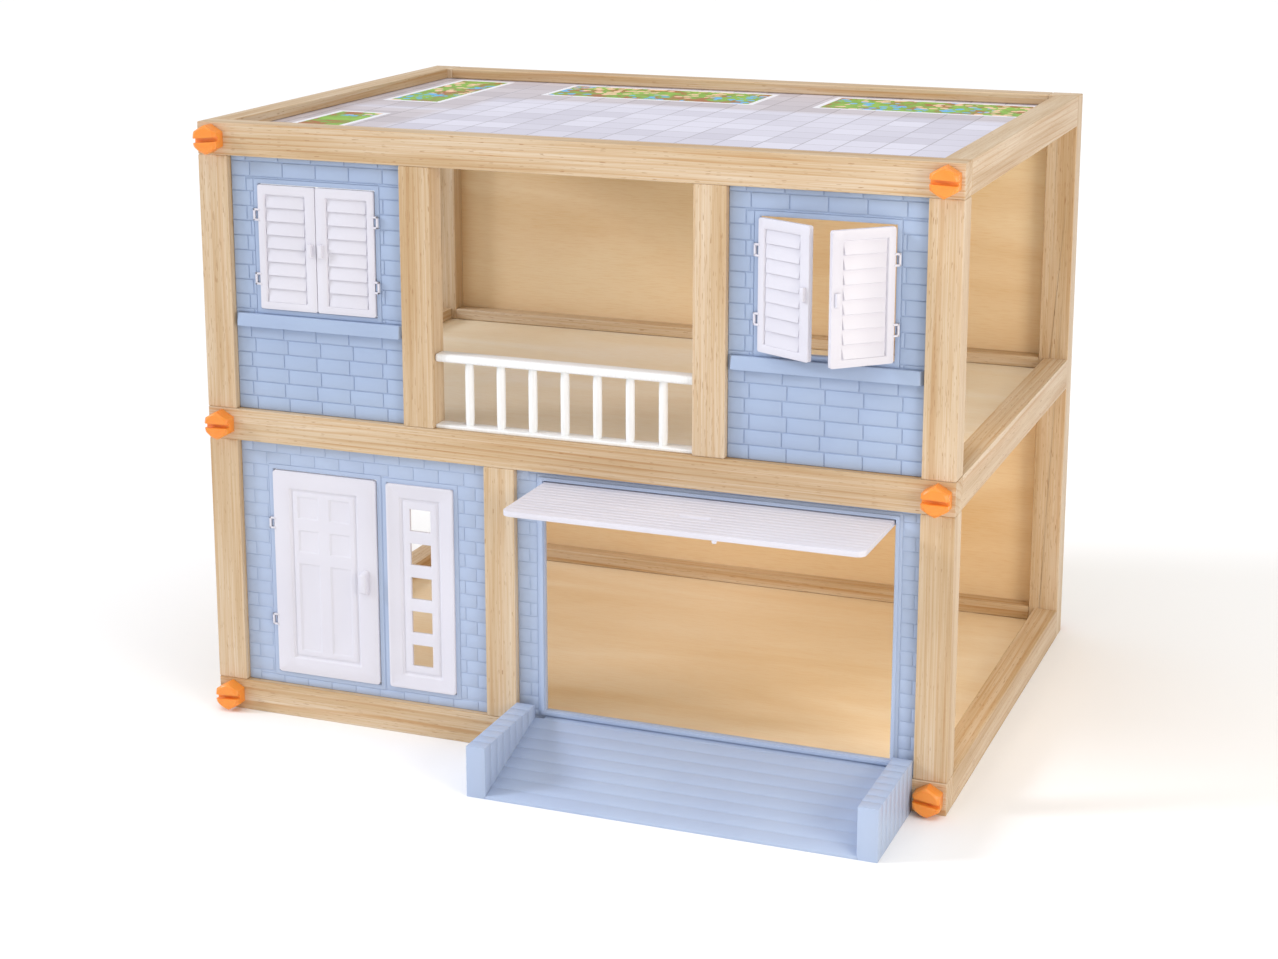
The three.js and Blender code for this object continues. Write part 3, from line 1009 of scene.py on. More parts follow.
@dataclass
class TimberFrame:
    """The pine sticks and the boards between them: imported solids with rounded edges."""

    edge_round: float = 1.1 * MM
    timber: Timber = field(default_factory=Timber)
    plywood: Plywood = field(default_factory=Plywood)
    # A paler copy of the plywood for the mid floor: painted light, standing in for the light that falls on
    # the upper room's floor.
    painted_light_plywood: Plywood = Plywood("pale sanded birch plywood", "#FBF1DE", "#F8EACF", "#F2DFBF")
    # A warmer, darker copy of the plywood for the back board: painted shade, standing in for the shade and
    # warm bounced light inside the rooms.
    painted_shade_plywood: Plywood = Plywood("rotary-cut birch back board", "#F4DCB4", "#EED1A6", "#E5C391")
    terrace: PrintedTerrace = field(default_factory=PrintedTerrace)
    weld_reach: float = 0.01 * MM

    def build(self, frame: dict) -> None:
        """Dresses every timber and board.

        Args:
            frame: The loaded frame.
        """
        slots = {part["node"]: part["material_slot"] for part in frame["record"]["subparts"]}
        boards = {
            "ground_floor": self.plywood.material(),
            # The mid floor takes the paler copy of the plywood: painted light.
            "mid_floor": self.painted_light_plywood.material(),
            # The back sheet takes the warmer, darker copy of the plywood: painted shade.
            "back_sheet": self.painted_shade_plywood.material(),
            "roof_board": self.terrace.material(),
        }
        for number, name in enumerate(sorted(frame["nodes"])):
            node = frame["nodes"][name]
            if slots[name] == "pine":
                low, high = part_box(name)
                size = high - low
                axis = Axis(max(range(3), key=lambda i: size[i]))
                dress(node, self.timber.material(axis, number + 1, (low + high) / 2))
                self._round_edges(node)
                LOG.info("%s: pine, grain along %s", name, axis.name)
            elif name in boards:
                dress(node, boards[name])
                LOG.info("%s: %s", name, boards[name].name)

    def _round_edges(self, node: bpy.types.Object) -> None:
        """Adds live modifiers that close the loose triangles and round the stick's edges.

        Args:
            node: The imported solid's object.
        """
        weld = node.modifiers.new("closed", "WELD")
        weld.merge_threshold = self.weld_reach
        bevel = node.modifiers.new("planed edges", "BEVEL")
        bevel.width = self.edge_round
        bevel.segments = 3
        bevel.limit_method = "ANGLE"
        bevel.angle_limit = math.radians(60)


@dataclass
class HingeLoops:
    """The white loops of a leaf and the blue bearings behind them, for one hinge edge."""

    pin_out: float = 2.4 * MM
    pin_radius: float = 1.0 * MM
    pin_depth: float = 1.6 * MM
    loop_tall: float = 9.5 * MM
    arm_tall: float = 1.5 * MM
    arm_lap: float = 1.6 * MM
    bar_behind: float = 0.6 * MM
    gap: float = 0.3 * MM

    def axis_at(self, edge_x: float, face_y: float, side: Side) -> Vector:
        """Finds the hinge axis of a leaf.

        Args:
            edge_x: The opening's edge that the leaf hangs on, along X.
            face_y: The panel's face, along Y.
            side: The way the leaf reaches.

        Returns:
            A point on the axis, at ground level.
        """
        return Vector((edge_x - side.value * self.pin_out, face_y - self.pin_depth, 0))

    def loop(self, axis: Vector, side: Side, z: float) -> list[Box]:
        """Makes one loop's blocks: an outer bar and two arms that reach into the leaf.

        Args:
            axis: A point on the hinge axis.
            side: The way the leaf reaches.
            z: The loop's middle height.

        Returns:
            The blocks.
        """
        ys = (axis.y - self.pin_radius, axis.y + self.pin_radius)
        zs = (z - self.loop_tall / 2, z + self.loop_tall / 2)
        inner = axis.x + side.value * (self.pin_out + self.arm_lap)
        outer = axis.x - side.value * self.pin_radius
        return [
            box_of((outer, axis.x + side.value * self.bar_behind), ys, zs),
            box_of((outer, inner), ys, (zs[0], zs[0] + self.arm_tall)),
            box_of((outer, inner), ys, (zs[1] - self.arm_tall, zs[1])),
        ]

    def bearing(self, axis: Vector, side: Side, z: float, back: float) -> list[Box]:
        """Makes one bearing's blocks: a saddle behind the bar and a tongue through the loop.

        Args:
            axis: A point on the hinge axis.
            side: The way the leaf reaches.
            z: The loop's middle height.
            back: How far back the bearing goes, along Y.

        Returns:
            The blocks.
        """
        half = self.loop_tall / 2 - self.arm_tall - self.gap
        near = self.pin_radius + self.gap
        reach = axis.x + side.value * (self.pin_out - self.gap / 2)
        zs = (z - half, z + half)
        return [
            box_of((axis.x - side.value * near, reach), (axis.y + near, back), zs),
            box_of((axis.x + side.value * near, reach), (axis.y, back), zs),
        ]


@dataclass(frozen=True)
class BrickWall:
    """Brick relief on a moulded panel: courses of blocks with sunk joints between them."""

    course: float
    top_course: float
    brick: float
    first_joint: float
    stagger: float
    joint: float
    sunk: float
    root: float = 0.6 * MM
    least: float = 1.4 * MM

    def bricks(self, area: Box, face: float, gaps: Sequence[Box]) -> list[Box]:
        """Lays the bricks of an area, trimmed at its edges and left out at the gaps.

        Args:
            area: The area, by its lowest and highest corner.
            face: The bricks' front, along Y.
            gaps: The areas without bricks.

        Returns:
            One box for each brick.
        """
        low, high = area
        laid = []
        top = high.z
        row = 0
        while top > low.z + self.joint:
            bottom = max(high.z - self.top_course - row * self.course, low.z)
            start = low.x + self.first_joint + (self.stagger if row % 2 else 0)
            start -= self.brick * math.ceil((start - low.x) / self.brick)
            while start < high.x:
                span = (max(start, low.x), min(start + self.brick, high.x))
                start += self.brick
                laid += self._trim((*span, bottom, top), gaps)
            top = bottom
            row += 1
        half = self.joint / 2
        back = face + self.sunk + self.root
        return [
            box_of((x0 + half, x1 - half), (face, back), (z0 + half, z1 - half))
            for x0, x1, z0, z1 in laid
            if min(x1 - x0, z1 - z0) > self.least
        ]

    def _trim(self, brick: Span, gaps: Sequence[Box]) -> list[Span]:
        """Cuts one brick round the gaps.

        Args:
            brick: Its sides, its foot and its head.
            gaps: The areas without bricks.

        Returns:
            What is left of it.
        """
        pieces = [brick]
        for low, high in gaps:
            rest = []
            for x0, x1, z0, z1 in pieces:
                if x1 <= low.x or x0 >= high.x or z1 <= low.z or z0 >= high.z:
                    rest.append((x0, x1, z0, z1))
                    continue
                if z1 > high.z:
                    rest.append((x0, x1, high.z, z1))
                if z0 < low.z:
                    rest.append((x0, x1, z0, low.z))
                middle = (max(z0, low.z), min(z1, high.z))
                if x0 < low.x:
                    rest.append((x0, low.x, *middle))
                if x1 > high.x:
                    rest.append((high.x, x1, *middle))
            pieces = rest
        return pieces


UPPER_BRICKS = BrickWall(
    course=11.55 * MM,
    top_course=4.2 * MM,
    brick=28.35 * MM,
    first_joint=12.9 * MM,
    stagger=3.6 * MM,
    joint=0.85 * MM,
    sunk=0.65 * MM,
)
LOWER_BRICKS = BrickWall(
    course=10.74 * MM,
    top_course=8.8 * MM,
    brick=21.35 * MM,
    first_joint=10.3 * MM,
    stagger=11.9 * MM,
    joint=0.65 * MM,
    sunk=0.35 * MM,
)


@dataclass
class WallPanel:
    """A moulded panel set into the timber, with its openings, rims and bricks."""

    openings: list[Box]
    thick: float
    face: float
    wall: BrickWall
    rim: float = 3.6 * MM
    rim_proud: float = 0.2 * MM
    tuck: float = 0.8 * MM

    def start(self, name: str, low: Vector, high: Vector) -> Workpiece:
        """Makes the slab behind the bricks, and the smooth raised rim round each opening.

        Args:
            name: The piece's name.
            low: The panel's lowest corner.
            high: The panel's highest corner.

        Returns:
            The slab with its rims.
        """
        back = self.face + self.thick
        ys = (self.face + self.wall.sunk, back - self.tuck)
        slab = Workpiece(name, box_of((low.x, high.x), ys, (low.z, high.z)))
        for near, far in self.openings:
            slab.opening((near.x - self.tuck, far.x + self.tuck), (near.z - self.tuck, far.z + self.tuck))
        for near, far in self.openings:
            outer = box_of(
                (near.x - self.rim, far.x + self.rim),
                (self.face - self.rim_proud, back),
                (near.z - self.rim, far.z + self.rim),
            )
            slab.join(Workpiece("rim", outer).opening((near.x, far.x), (near.z, far.z)))
        return slab

    def bricks(self, area: Box, *free: Box) -> list[Box]:
        """Lays the panel's bricks, which stop at the rims.

        Args:
            area: The panel, by its lowest and highest corner.
            *free: More areas without bricks.

        Returns:
            One box for each brick.
        """
        grow = Vector((self.rim, 0, self.rim))
        gaps = [(low - grow, high + grow) for low, high in self.openings]
        return self.wall.bricks(area, self.face, [*gaps, *free])


@dataclass(frozen=True)
class WindowPlan:
    """One window bay: its panel, its two shutters and how far each stands open, in degrees."""

    panel: str
    shutters: tuple[str, str]
    open_angles: Pair


@dataclass
class WindowBays:
    """The upper wall panels, each with its window, sill, bearings and two shutters."""

    blue: bpy.types.Material
    white: bpy.types.Material
    thick: float = 5.0 * MM
    window_wide: float = 100 * MM
    window_tall: float = 98 * MM
    head_drop: float = 21 * MM
    sill_drop: float = 4 * MM
    sill_tall: float = 10 * MM
    sill_end: float = 3.5 * MM
    sill_fall: float = 1.6 * MM
    sill_root: float = 2 * MM
    loop_inset: float = 24 * MM
    leaf_thick: float = 4 * MM
    leaf_proud: float = 2 * MM
    leaf_gap: float = 0.6 * MM
    corner: float = 1.6 * MM
    field_margins: Pair = (5.5 * MM, 8.5 * MM)
    field_slope: float = 0.8 * MM
    field_deep: float = 2.1 * MM
    field_low: float = 0.8 * MM
    slat_pitch: float = 10.5 * MM
    slat_count: int = 8
    slat_gap: float = 0.25 * MM
    slat_side: float = 0.5 * MM
    slat_ys: Pair = (0.2 * MM, 2.6 * MM)
    slat_lean: float = 1.75 * MM
    slat_taper: float = 1.3 * MM
    groove_margin: float = 0.8 * MM
    groove_deep: float = 0.9 * MM
    knob: Vector = field(default_factory=lambda: Vector((3.5, 3.0, 10.0)) * MM)
    knob_inset: float = 2.5 * MM
    panel_edge: float = 0.35 * MM
    leaf_edge: float = 0.4 * MM
    hinges: HingeLoops = field(default_factory=HingeLoops)
    face: float = field(init=False)
    loop_zs: Pair = field(init=False)

    def build(self, plans: Sequence[WindowPlan]) -> None:
        """Makes one panel with its two closed shutters, and copies them for every bay.

        Args:
            plans: The bays, which have panels of one size.
        """
        low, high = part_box(plans[0].panel)
        self.face = high.y - self.thick
        middle = (low.x + high.x) / 2
        xs = (middle - self.window_wide / 2, middle + self.window_wide / 2)
        zs = (high.z - self.head_drop - self.window_tall, high.z - self.head_drop)
        self.loop_zs = (zs[0] + self.loop_inset, zs[1] - self.loop_inset)
        sides = (Side.RIGHTWARDS, Side.LEFTWARDS)
        panel = self._panel(low, high, xs, zs)
        leaves = [self._shutter(edge, middle, zs, side) for edge, side in zip(xs, sides)]
        for plan in plans:
            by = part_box(plan.panel)[0] - low
            piece = panel.copy(f"{plan.panel}_moulding", by)
            piece.finish("root", "blue_plastic", self.blue, plan.panel)
            for leaf, name, edge, side, angle in zip(leaves, plan.shutters, xs, sides, plan.open_angles):
                piece = leaf.copy(f"{name}_moulding", by)
                if angle:
                    axis = self.hinges.axis_at(edge + by.x, self.face, side)
                    piece.turn(Axis.Z, -side.value * math.radians(angle), axis)
                piece.finish(name, "white_plastic", self.white, name)
        for pattern in (panel, *leaves):
            pattern.discard()

    def _panel(self, low: Vector, high: Vector, xs: Pair, zs: Pair) -> Workpiece:
        """Makes the brick panel with its window rim, sill and bearings.

        Args:
            low: The panel's lowest corner.
            high: The panel's highest corner.
            xs: The window's sides.
            zs: The window's foot and head.

        Returns:
            The panel.
        """
        window = box_of(xs, (low.y, high.y), zs)
        panel = WallPanel([window], self.thick, self.face, UPPER_BRICKS)
        piece = panel.start("window_panel", low, high)
        front, top = low.y, zs[0] - self.sill_drop
        bottom = top - self.sill_tall
        sill = box_of((low.x, high.x), (front, self.face + self.sill_root), (bottom, top))
        parts = [sill]
        for edge, side in zip(xs, (Side.RIGHTWARDS, Side.LEFTWARDS)):
            axis = self.hinges.axis_at(edge, self.face, side)
            for z in self.loop_zs:
                parts += self.hinges.bearing(axis, side, z, self.face + LAP)
        piece.blocks(parts + panel.bricks((low, high), sill))
        piece.move_corners(at(y=front, z=top), Vector((0, self.sill_fall, 0)))
        fronts = at(y=(front, front + self.sill_fall), z=(bottom, top))
        for end, inwards in ((low.x, self.sill_end), (high.x, -self.sill_end)):
            ends = at(x=end)
            piece.move_corners(lambda c: fronts(c) and ends(c), Vector((inwards, 0, 0)))
        return piece.soften(self.panel_edge)

    def _shutter(self, edge: float, middle: float, zs: Pair, side: Side) -> Workpiece:
        """Makes one louvred shutter, closed.

        Args:
            edge: The side of the window that it hangs on.
            middle: Where the two shutters meet.
            zs: The window's foot and head.
            side: The way the leaf reaches.

        Returns:
            The shutter.
        """
        way = side.value
        hinge_x = edge + way * self.leaf_gap
        meet_x = middle - way * self.leaf_gap / 2
        front = self.face - self.leaf_proud
        behind = front + self.leaf_thick
        leaf = box_of((hinge_x, meet_x), (front, behind), (zs[0] + self.leaf_gap, zs[1] - self.leaf_gap))
        piece = Workpiece("shutter", leaf).round_outline(self.corner, *leaf)
        tall = self.slat_pitch * self.slat_count
        base = (leaf[0].z + leaf[1].z - tall) / 2 - self.field_low
        louvres = box_of(
            (hinge_x + way * self.field_margins[0], meet_x - way * self.field_margins[1]),
            (front - LAP, front + LAP),
            (base, base + tall),
        )
        piece.recess(louvres, self.field_slope, self.field_deep)
        inner = (louvres[0].x + self.slat_side, louvres[1].x - self.slat_side)
        feet = [base + number * self.slat_pitch for number in range(self.slat_count)]
        self._slats(piece, inner, feet, front)
        for z in feet:
            span = (z + self.groove_margin, z + self.slat_pitch - self.groove_margin)
            groove = box_of(inner, (behind - LAP, behind + LAP), span)
            piece.recess(groove, self.slat_side, self.groove_deep, Axis.Y, 1)
        axis = self.hinges.axis_at(edge, self.face, side)
        extra = []
        for z in self.loop_zs:
            extra += self.hinges.loop(axis, side, z)
        knob_x = meet_x - way * self.knob_inset
        knob_z = (leaf[0].z + leaf[1].z) / 2
        knob = box_of(
            (knob_x, knob_x - way * self.knob.x),
            (front - self.knob.y, front + LAP),
            (knob_z - self.knob.z / 2, knob_z + self.knob.z / 2),
        )
        return piece.blocks([*extra, knob]).soften(self.leaf_edge)

    def _slats(self, piece: Workpiece, inner: Pair, feet: Sequence[float], front: float) -> None:
        """Adds the slats, each leaning back towards its top and narrower in front.

        Args:
            piece: The shutter.
            inner: The slats' ends.
            feet: The foot of each slat's place.
            front: The leaf's front, along Y.
        """
        near, far = (front + y for y in self.slat_ys)
        tops = [z + self.slat_pitch for z in feet]
        piece.blocks([box_of(inner, (near, far), (z + self.slat_gap, top)) for z, top in zip(feet, tops)])
        piece.move_corners(at(y=near, z=tops), Vector((0, self.slat_lean, 0)))
        for end, inwards in ((inner[0], self.slat_taper), (inner[1], -self.slat_taper)):
            piece.move_corners(at(x=end, y=near), Vector((inwards, 0, 0)))


@dataclass
class DoorBay:
    """The lower left panel with the front door and the side light."""

    blue: bpy.types.Material
    white: bpy.types.Material
    thick: float = 5.0 * MM
    leaf_gap: float = 0.6 * MM
    leaf_thick: float = 4 * MM
    handle_proud: float = 6 * MM
    handle_inset: float = 7 * MM
    handle_size: Pair = (6 * MM, 21 * MM)
    loop_inset: float = 44 * MM
    corner: float = 2.4 * MM
    frame_margins: tuple[float, float, float, float] = (14 * MM, 16 * MM, 12.5 * MM, 13.5 * MM)
    slope: float = 1.3 * MM
    frame_sunk: float = 1.5 * MM
    frame_rise: float = 0.8 * MM
    pane: float = 17.5 * MM
    pane_pitch: float = 27.5 * MM
    pane_count: int = 5
    light_margins: Pair = (11 * MM, 10.5 * MM)
    light_edge: float = 2 * MM
    light_step: Pair = (1.4 * MM, 0.6 * MM)
    square: float = 18.5 * MM
    square_gap: float = 9 * MM
    rib: float = 4.5 * MM
    square_drop: float = 6 * MM
    tall_rise: float = 7 * MM
    square_step: Pair = (1.2 * MM, 0.8 * MM)
    grip_taper: float = 3 * MM
    grip_round: float = 1.6 * MM
    panel_edge: float = 0.2 * MM
    leaf_edge: float = 0.35 * MM
    leaf_deep: float = 3 * MM
    hinges: HingeLoops = field(default_factory=HingeLoops)
    face: float = field(init=False)
    loop_zs: Pair = field(init=False)
    axis: Vector = field(init=False)

    def build(self) -> None:
        """Makes the panel, the door and the side light."""
        low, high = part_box("wall_panel_door")
        self.face = high.y - self.thick
        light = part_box("side_light")
        door_low, door_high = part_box("front_door")
        gap = Vector((self.leaf_gap, 0, self.leaf_gap))
        right = door_high.x
        left = door_low.x + self.hinges.pin_radius + self.hinges.pin_out + self.leaf_gap
        leaf_low = Vector((left, light[0].y, door_low.z))
        leaf_high = Vector((right, light[0].y + self.leaf_thick, door_high.z))
        doorway = (leaf_low - gap, leaf_high + gap)
        self.loop_zs = (doorway[0].z + self.loop_inset, doorway[1].z - self.loop_inset)
        self.axis = self.hinges.axis_at(doorway[0].x, self.face, Side.RIGHTWARDS)
        self._panel(low, high, [doorway, light])
        self._door(leaf_low, leaf_high)
        self._light(*light)

    def _panel(self, low: Vector, high: Vector, openings: list[Box]) -> None:
        """Makes the brick panel with a rim round both openings.

        Args:
            low: The panel's lowest corner.
            high: The panel's highest corner.
            openings: The doorway and the side light.
        """
        panel = WallPanel(openings, self.thick, self.face, LOWER_BRICKS)
        piece = panel.start("wall_panel_door_moulding", low, high)
        parts = []
        for z in self.loop_zs:
            parts += self.hinges.bearing(self.axis, Side.RIGHTWARDS, z, self.face + LAP)
        piece.blocks(parts + panel.bricks((low, high))).soften(self.panel_edge)
        piece.finish("root", "blue_plastic", self.blue, "wall_panel_door")

    def _door(self, low: Vector, high: Vector) -> None:
        """Makes the door: a framed leaf with four square and two tall sunk panels.

        Args:
            low: The leaf's lowest corner.
            high: The leaf's highest corner.
        """
        piece = Workpiece("front_door_moulding", (low, high)).round_outline(self.corner, low, high)
        left, right, bottom, top = self.frame_margins
        deep = (low.y - LAP, low.y + self.leaf_deep)
        frame = box_of((low.x + left, high.x - right), deep, (low.z + bottom, high.z - top))
        piece.moulding(frame, self.slope, self.frame_sunk, self.frame_rise)
        centre = (frame[0].x + frame[1].x) / 2
        tops = frame[1].z - self.square_drop
        for way in (-1, 1):
            xs = (centre + way * self.rib, centre + way * (self.rib + self.square))
            for row in range(2):
                z = tops - row * (self.square + self.square_gap)
                piece.recess(box_of(xs, deep, (z - self.square, z)), *self.square_step)
            z = tops - 2 * (self.square + self.square_gap)
            piece.recess(box_of(xs, deep, (frame[0].z + self.tall_rise, z)), *self.square_step)
        loops = []
        for z in self.loop_zs:
            loops += self.hinges.loop(self.axis, Side.RIGHTWARDS, z)
        piece.blocks(loops).soften(self.leaf_edge)
        piece.join(self._grip(low, high))
        piece.finish("front_door", "white_plastic", self.white, "front_door")

    def _grip(self, low: Vector, high: Vector) -> Workpiece:
        """Makes the door's grip, which narrows towards its front.

        Args:
            low: The leaf's lowest corner.
            high: The leaf's highest corner.

        Returns:
            The grip.
        """
        wide, height = self.handle_size
        front = low.y - self.handle_proud
        handle_x = high.x - self.handle_inset
        handle_z = (low.z + high.z) / 2
        zs = (handle_z - height / 2, handle_z + height / 2)
        grip = Workpiece("grip", box_of((handle_x - wide, handle_x), (front, low.y + LAP), zs))
        grip.move_corners(at(y=front, z=zs[1]), Vector((0, 0, -self.grip_taper)))
        grip.move_corners(at(y=front, z=zs[0]), Vector((0, 0, self.grip_taper)))
        return grip.soften(self.grip_round, 4)

    def _light(self, low: Vector, high: Vector) -> None:
        """Makes the side light: a framed plate with square openings.

        Args:
            low: The plate's lowest corner.
            high: The plate's highest corner.
        """
        piece = Workpiece("side_light_moulding", (low, high)).round_outline(self.corner, low, high)
        across, up = self.light_margins
        deep = (low.y - LAP, low.y + self.leaf_deep)
        edge = self.light_edge
        outer = box_of((low.x + edge, high.x - edge), deep, (low.z + edge, high.z - edge))
        piece.recess(outer, *self.light_step)
        frame = box_of((low.x + across, high.x - across), deep, (low.z + up, high.z - up))
        piece.moulding(frame, self.slope, self.frame_sunk, self.frame_rise)
        middle_x = (low.x + high.x) / 2
        middle_z = (low.z + high.z) / 2
        half = self.pane / 2
        for number in range(self.pane_count):
            z = middle_z + (number - (self.pane_count - 1) / 2) * self.pane_pitch
            piece.opening((middle_x - half, middle_x + half), (z - half, z + half))
        piece.soften(self.leaf_edge)
        piece.finish("root", "white_plastic", self.white, "side_light")


@dataclass
class GarageBay:
    """The lower right panel with its channels, the up-and-over door and its rod."""

    blue: bpy.types.Material
    white: bpy.types.Material
    thick: float = 5.0 * MM
    side: float = 22 * MM
    sill: float = 9 * MM
    wide: float = 272 * MM
    tall: float = 183 * MM
    plate_thick: float = 4 * MM
    board_pitch: float = 6.4 * MM
    board_step: float = 0.5 * MM
    handle: Pair = (25 * MM, 3.6 * MM)
    handle_slope: float = 0.6 * MM
    handle_deep: float = 1.8 * MM
    slot_board: int = 4
    nub: Vector = field(default_factory=lambda: Vector((3.6, 2.6, 2.6)) * MM)
    nub_aside: float = 27 * MM
    nub_round: float = 1.2 * MM
    corner: float = 7 * MM
    wall: float = 3 * MM
    wall_lap: float = 0.5 * MM
    rod_reach: float = 4.5 * MM
    clearance: float = 0.4 * MM
    rim: float = 5.4 * MM
    step_wide: float = 3.2 * MM
    step_proud: float = 1.6 * MM
    step_lap: float = 0.5 * MM
    edge: float = 0.2 * MM
    rod_edge: float = 0.4 * MM
    face: float = field(init=False)

    def build(self) -> None:
        """Makes the panel, the door and the rod."""
        low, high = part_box("wall_panel_garage")
        self.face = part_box("wall_panel_door")[1].y - self.thick
        xs = (low.x + self.side, low.x + self.side + self.wide)
        zs = (low.z + self.sill, low.z + self.sill + self.tall)
        self._panel(low, high, xs, zs)
        self._door()
        rod_low, rod_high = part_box("garage_door_rod")
        middle = (rod_low + rod_high) / 2
        ends = [Vector((x, middle.y, middle.z)) for x in (rod_low.x, rod_high.x)]
        rod = Workpiece.round("garage_door_rod_bar", ends, (rod_high.z - rod_low.z) / 2, 24)
        rod.soften(self.rod_edge, 3)
        rod.finish("garage_door_rod", "white_plastic", self.white, "garage_door_rod")

    def _panel(self, low: Vector, high: Vector, xs: Pair, zs: Pair) -> None:
        """Makes the brick panel with its stepped rim, and the channels behind it.

        Args:
            low: The lowest corner of the panel and its channels.
            high: The highest corner of the panel and its channels.
            xs: The opening's sides.
            zs: The opening's foot and head.
        """
        slab_low = Vector((low.x, self.face, low.z))
        slab_high = Vector((high.x, self.face + self.thick, high.z))
        opening = box_of(xs, (self.face, slab_high.y), zs)
        panel = WallPanel([opening], self.thick, self.face, LOWER_BRICKS, rim=self.rim)
        piece = panel.start("wall_panel_garage_moulding", slab_low, slab_high)
        wide, lap = self.step_wide, self.step_lap
        outer = box_of(
            (xs[0] - wide, xs[1] + wide),
            (self.face - self.step_proud, self.face + LAP),
            (zs[0] - wide, zs[1] + wide),
        )
        piece.join(Workpiece("step", outer).opening((xs[0] - lap, xs[1] + lap), (zs[0] - lap, zs[1] + lap)))
        parts = self._channels(xs, high.y, slab_high.y)
        piece.blocks(parts + panel.bricks((slab_low, slab_high))).soften(self.edge)
        piece.finish("root", "blue_plastic", self.blue, "wall_panel_garage")

    def _channels(self, xs: Pair, end: float, back: float) -> list[Box]:
        """Makes the walls of the channel behind each side of the opening.

        Args:
            xs: The opening's sides.
            end: The channels' far end, along Y.
            back: The panel's back, along Y.

        Returns:
            The walls.
        """
        rod_low, rod_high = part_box("garage_door_rod")
        slot = (rod_low.z - self.clearance, rod_high.z + self.clearance)
        lapped = (slot[0] - self.wall_lap, slot[1] + self.wall_lap)
        ys = (back - LAP, end)
        walls = []
        for edge, out in ((xs[0], -1), (xs[1], 1)):
            reach = edge + out * (self.rod_reach + self.clearance)
            far = reach + out * self.wall
            walls.append(box_of((edge, far), ys, (slot[1], slot[1] + self.wall)))
            walls.append(box_of((edge, far), ys, (slot[0] - self.wall, slot[0])))
            walls.append(box_of((reach, far), ys, lapped))
            walls.append(box_of((edge, far), (end - self.wall, end), lapped))
        return walls

    def _door(self) -> None:
        """Makes the door as it lies open: a grooved plate on a round bead, a slot and a nub."""
        low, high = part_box("garage_door")
        rod_low, rod_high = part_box("garage_door_rod")
        rod_y, rod_z = (rod_low.y + rod_high.y) / 2, (rod_low.z + rod_high.z) / 2
        bead = high.y - rod_y
        top = high.z
        under = top - self.plate_thick
        piece = Workpiece("garage_door_moulding", box_of((low.x, high.x), (low.y, rod_y), (under, top)))
        count = round((rod_y - low.y) / self.board_pitch)
        grooves = [low.y + (n + 1) * (rod_y - low.y) / count for n in range(count - 1)]
        half = self.board_step
        for groove in grooves:
            piece.cut_lines([(Axis.Y, groove - half), (Axis.Y, groove), (Axis.Y, groove + half)])
        piece.move_corners(at(y=grooves, z=top), Vector((0, 0, -self.board_step)))
        middle = (low.x + high.x) / 2
        slot_y = grooves[self.slot_board] + (grooves[0] - low.y) / 2
        half_wide, half_deep = self.handle[0] / 2, self.handle[1] / 2
        area = box_of(
            (middle - half_wide, middle + half_wide),
            (slot_y - half_deep, slot_y + half_deep),
            (top - LAP, top + LAP),
        )
        piece.recess(area, self.handle_slope, self.handle_deep, Axis.Z, 1)
        toe = at(x=(low.x, high.x), y=low.y)
        piece.round_edges(self.corner, lambda m, d: abs(d.z) > ALONG and toe(m))
        piece.bar(Vector((low.x, rod_y, rod_z)), Vector((high.x, rod_y, rod_z)), bead, 32)
        piece.soften(self.edge)
        nub_x = middle + self.nub_aside
        nub = Workpiece(
            "nub",
            box_of(
                (nub_x - self.nub.x / 2, nub_x + self.nub.x / 2),
                (low.y, low.y + self.nub.y),
                (under - self.nub.z, under + LAP),
            ),
        )
        piece.join(nub.soften(self.nub_round, 3))
        piece.finish("garage_door", "white_plastic", self.white, "garage_door")


@dataclass
class Ramp:
    """The ramp before the garage: a boarded deck between two boarded side walls."""

    blue: bpy.types.Material
    wall_wide: float = 15 * MM
    deck_top: float = 29.6 * MM
    deck_toe: float = 2 * MM
    lip: float = 5.2 * MM
    board_count: int = 8
    groove: float = 0.4 * MM
    groove_deep: float = 0.2 * MM
    board_thick: float = 1.5 * MM
    lip_under: float = 25 * MM
    edge: float = 0.25 * MM

    def build(self) -> None:
        """Makes the ramp."""
        low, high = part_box("garage_ramp")
        back = high.y - self.lip
        pitch = (back - low.y) / self.board_count
        inner = (low.x + self.wall_wide, high.x - self.wall_wide)
        lip_low, lip_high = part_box("garage_door")
        deck = Workpiece(
            "garage_ramp_moulding",
            box_of(
                (inner[0] - LAP, inner[1] + LAP),
                (low.y, back),
                (low.z, self.deck_top - self.groove_deep),
            ),
        )
        boards = []
        edges = [low.y, back]
        for number in range(self.board_count):
            y = low.y + number * pitch
            ys = (y + self.groove / 2, y + pitch - self.groove / 2)
            edges += ys
            boards.append(box_of(inner, ys, (self.deck_top - self.board_thick, self.deck_top)))
        deck.blocks(boards)
        fall = (self.deck_top - self.deck_toe) / (back - low.y)
        for edge in edges:
            deck.move_corners(
                lambda c: abs(c.y - edge) < TOUCH and c.z > low.z + TOUCH,
                Vector((0, 0, (edge - back) * fall)),
            )
        zs = (self.lip_under, self.deck_top)
        parts = [box_of((lip_low.x, lip_high.x), (back - LAP, high.y), zs)]
        core = self.groove_deep
        for edge, way in ((low.x, 1), (high.x, -1)):
            parts.append(
                box_of(
                    (edge + way * core, edge + way * (self.wall_wide - core)),
                    (low.y + core, back - core),
                    (low.z, high.z - core),
                )
            )
            for number in range(self.board_count):
                y = low.y + number * pitch
                start = y if number == 0 else y + self.groove / 2
                end = back if number == self.board_count - 1 else y + pitch - self.groove / 2
                parts.append(box_of((edge, edge + way * self.wall_wide), (start, end), (low.z, high.z)))
        deck.blocks(parts).soften(self.edge)
        deck.finish("root", "blue_plastic", self.blue, "garage_ramp")


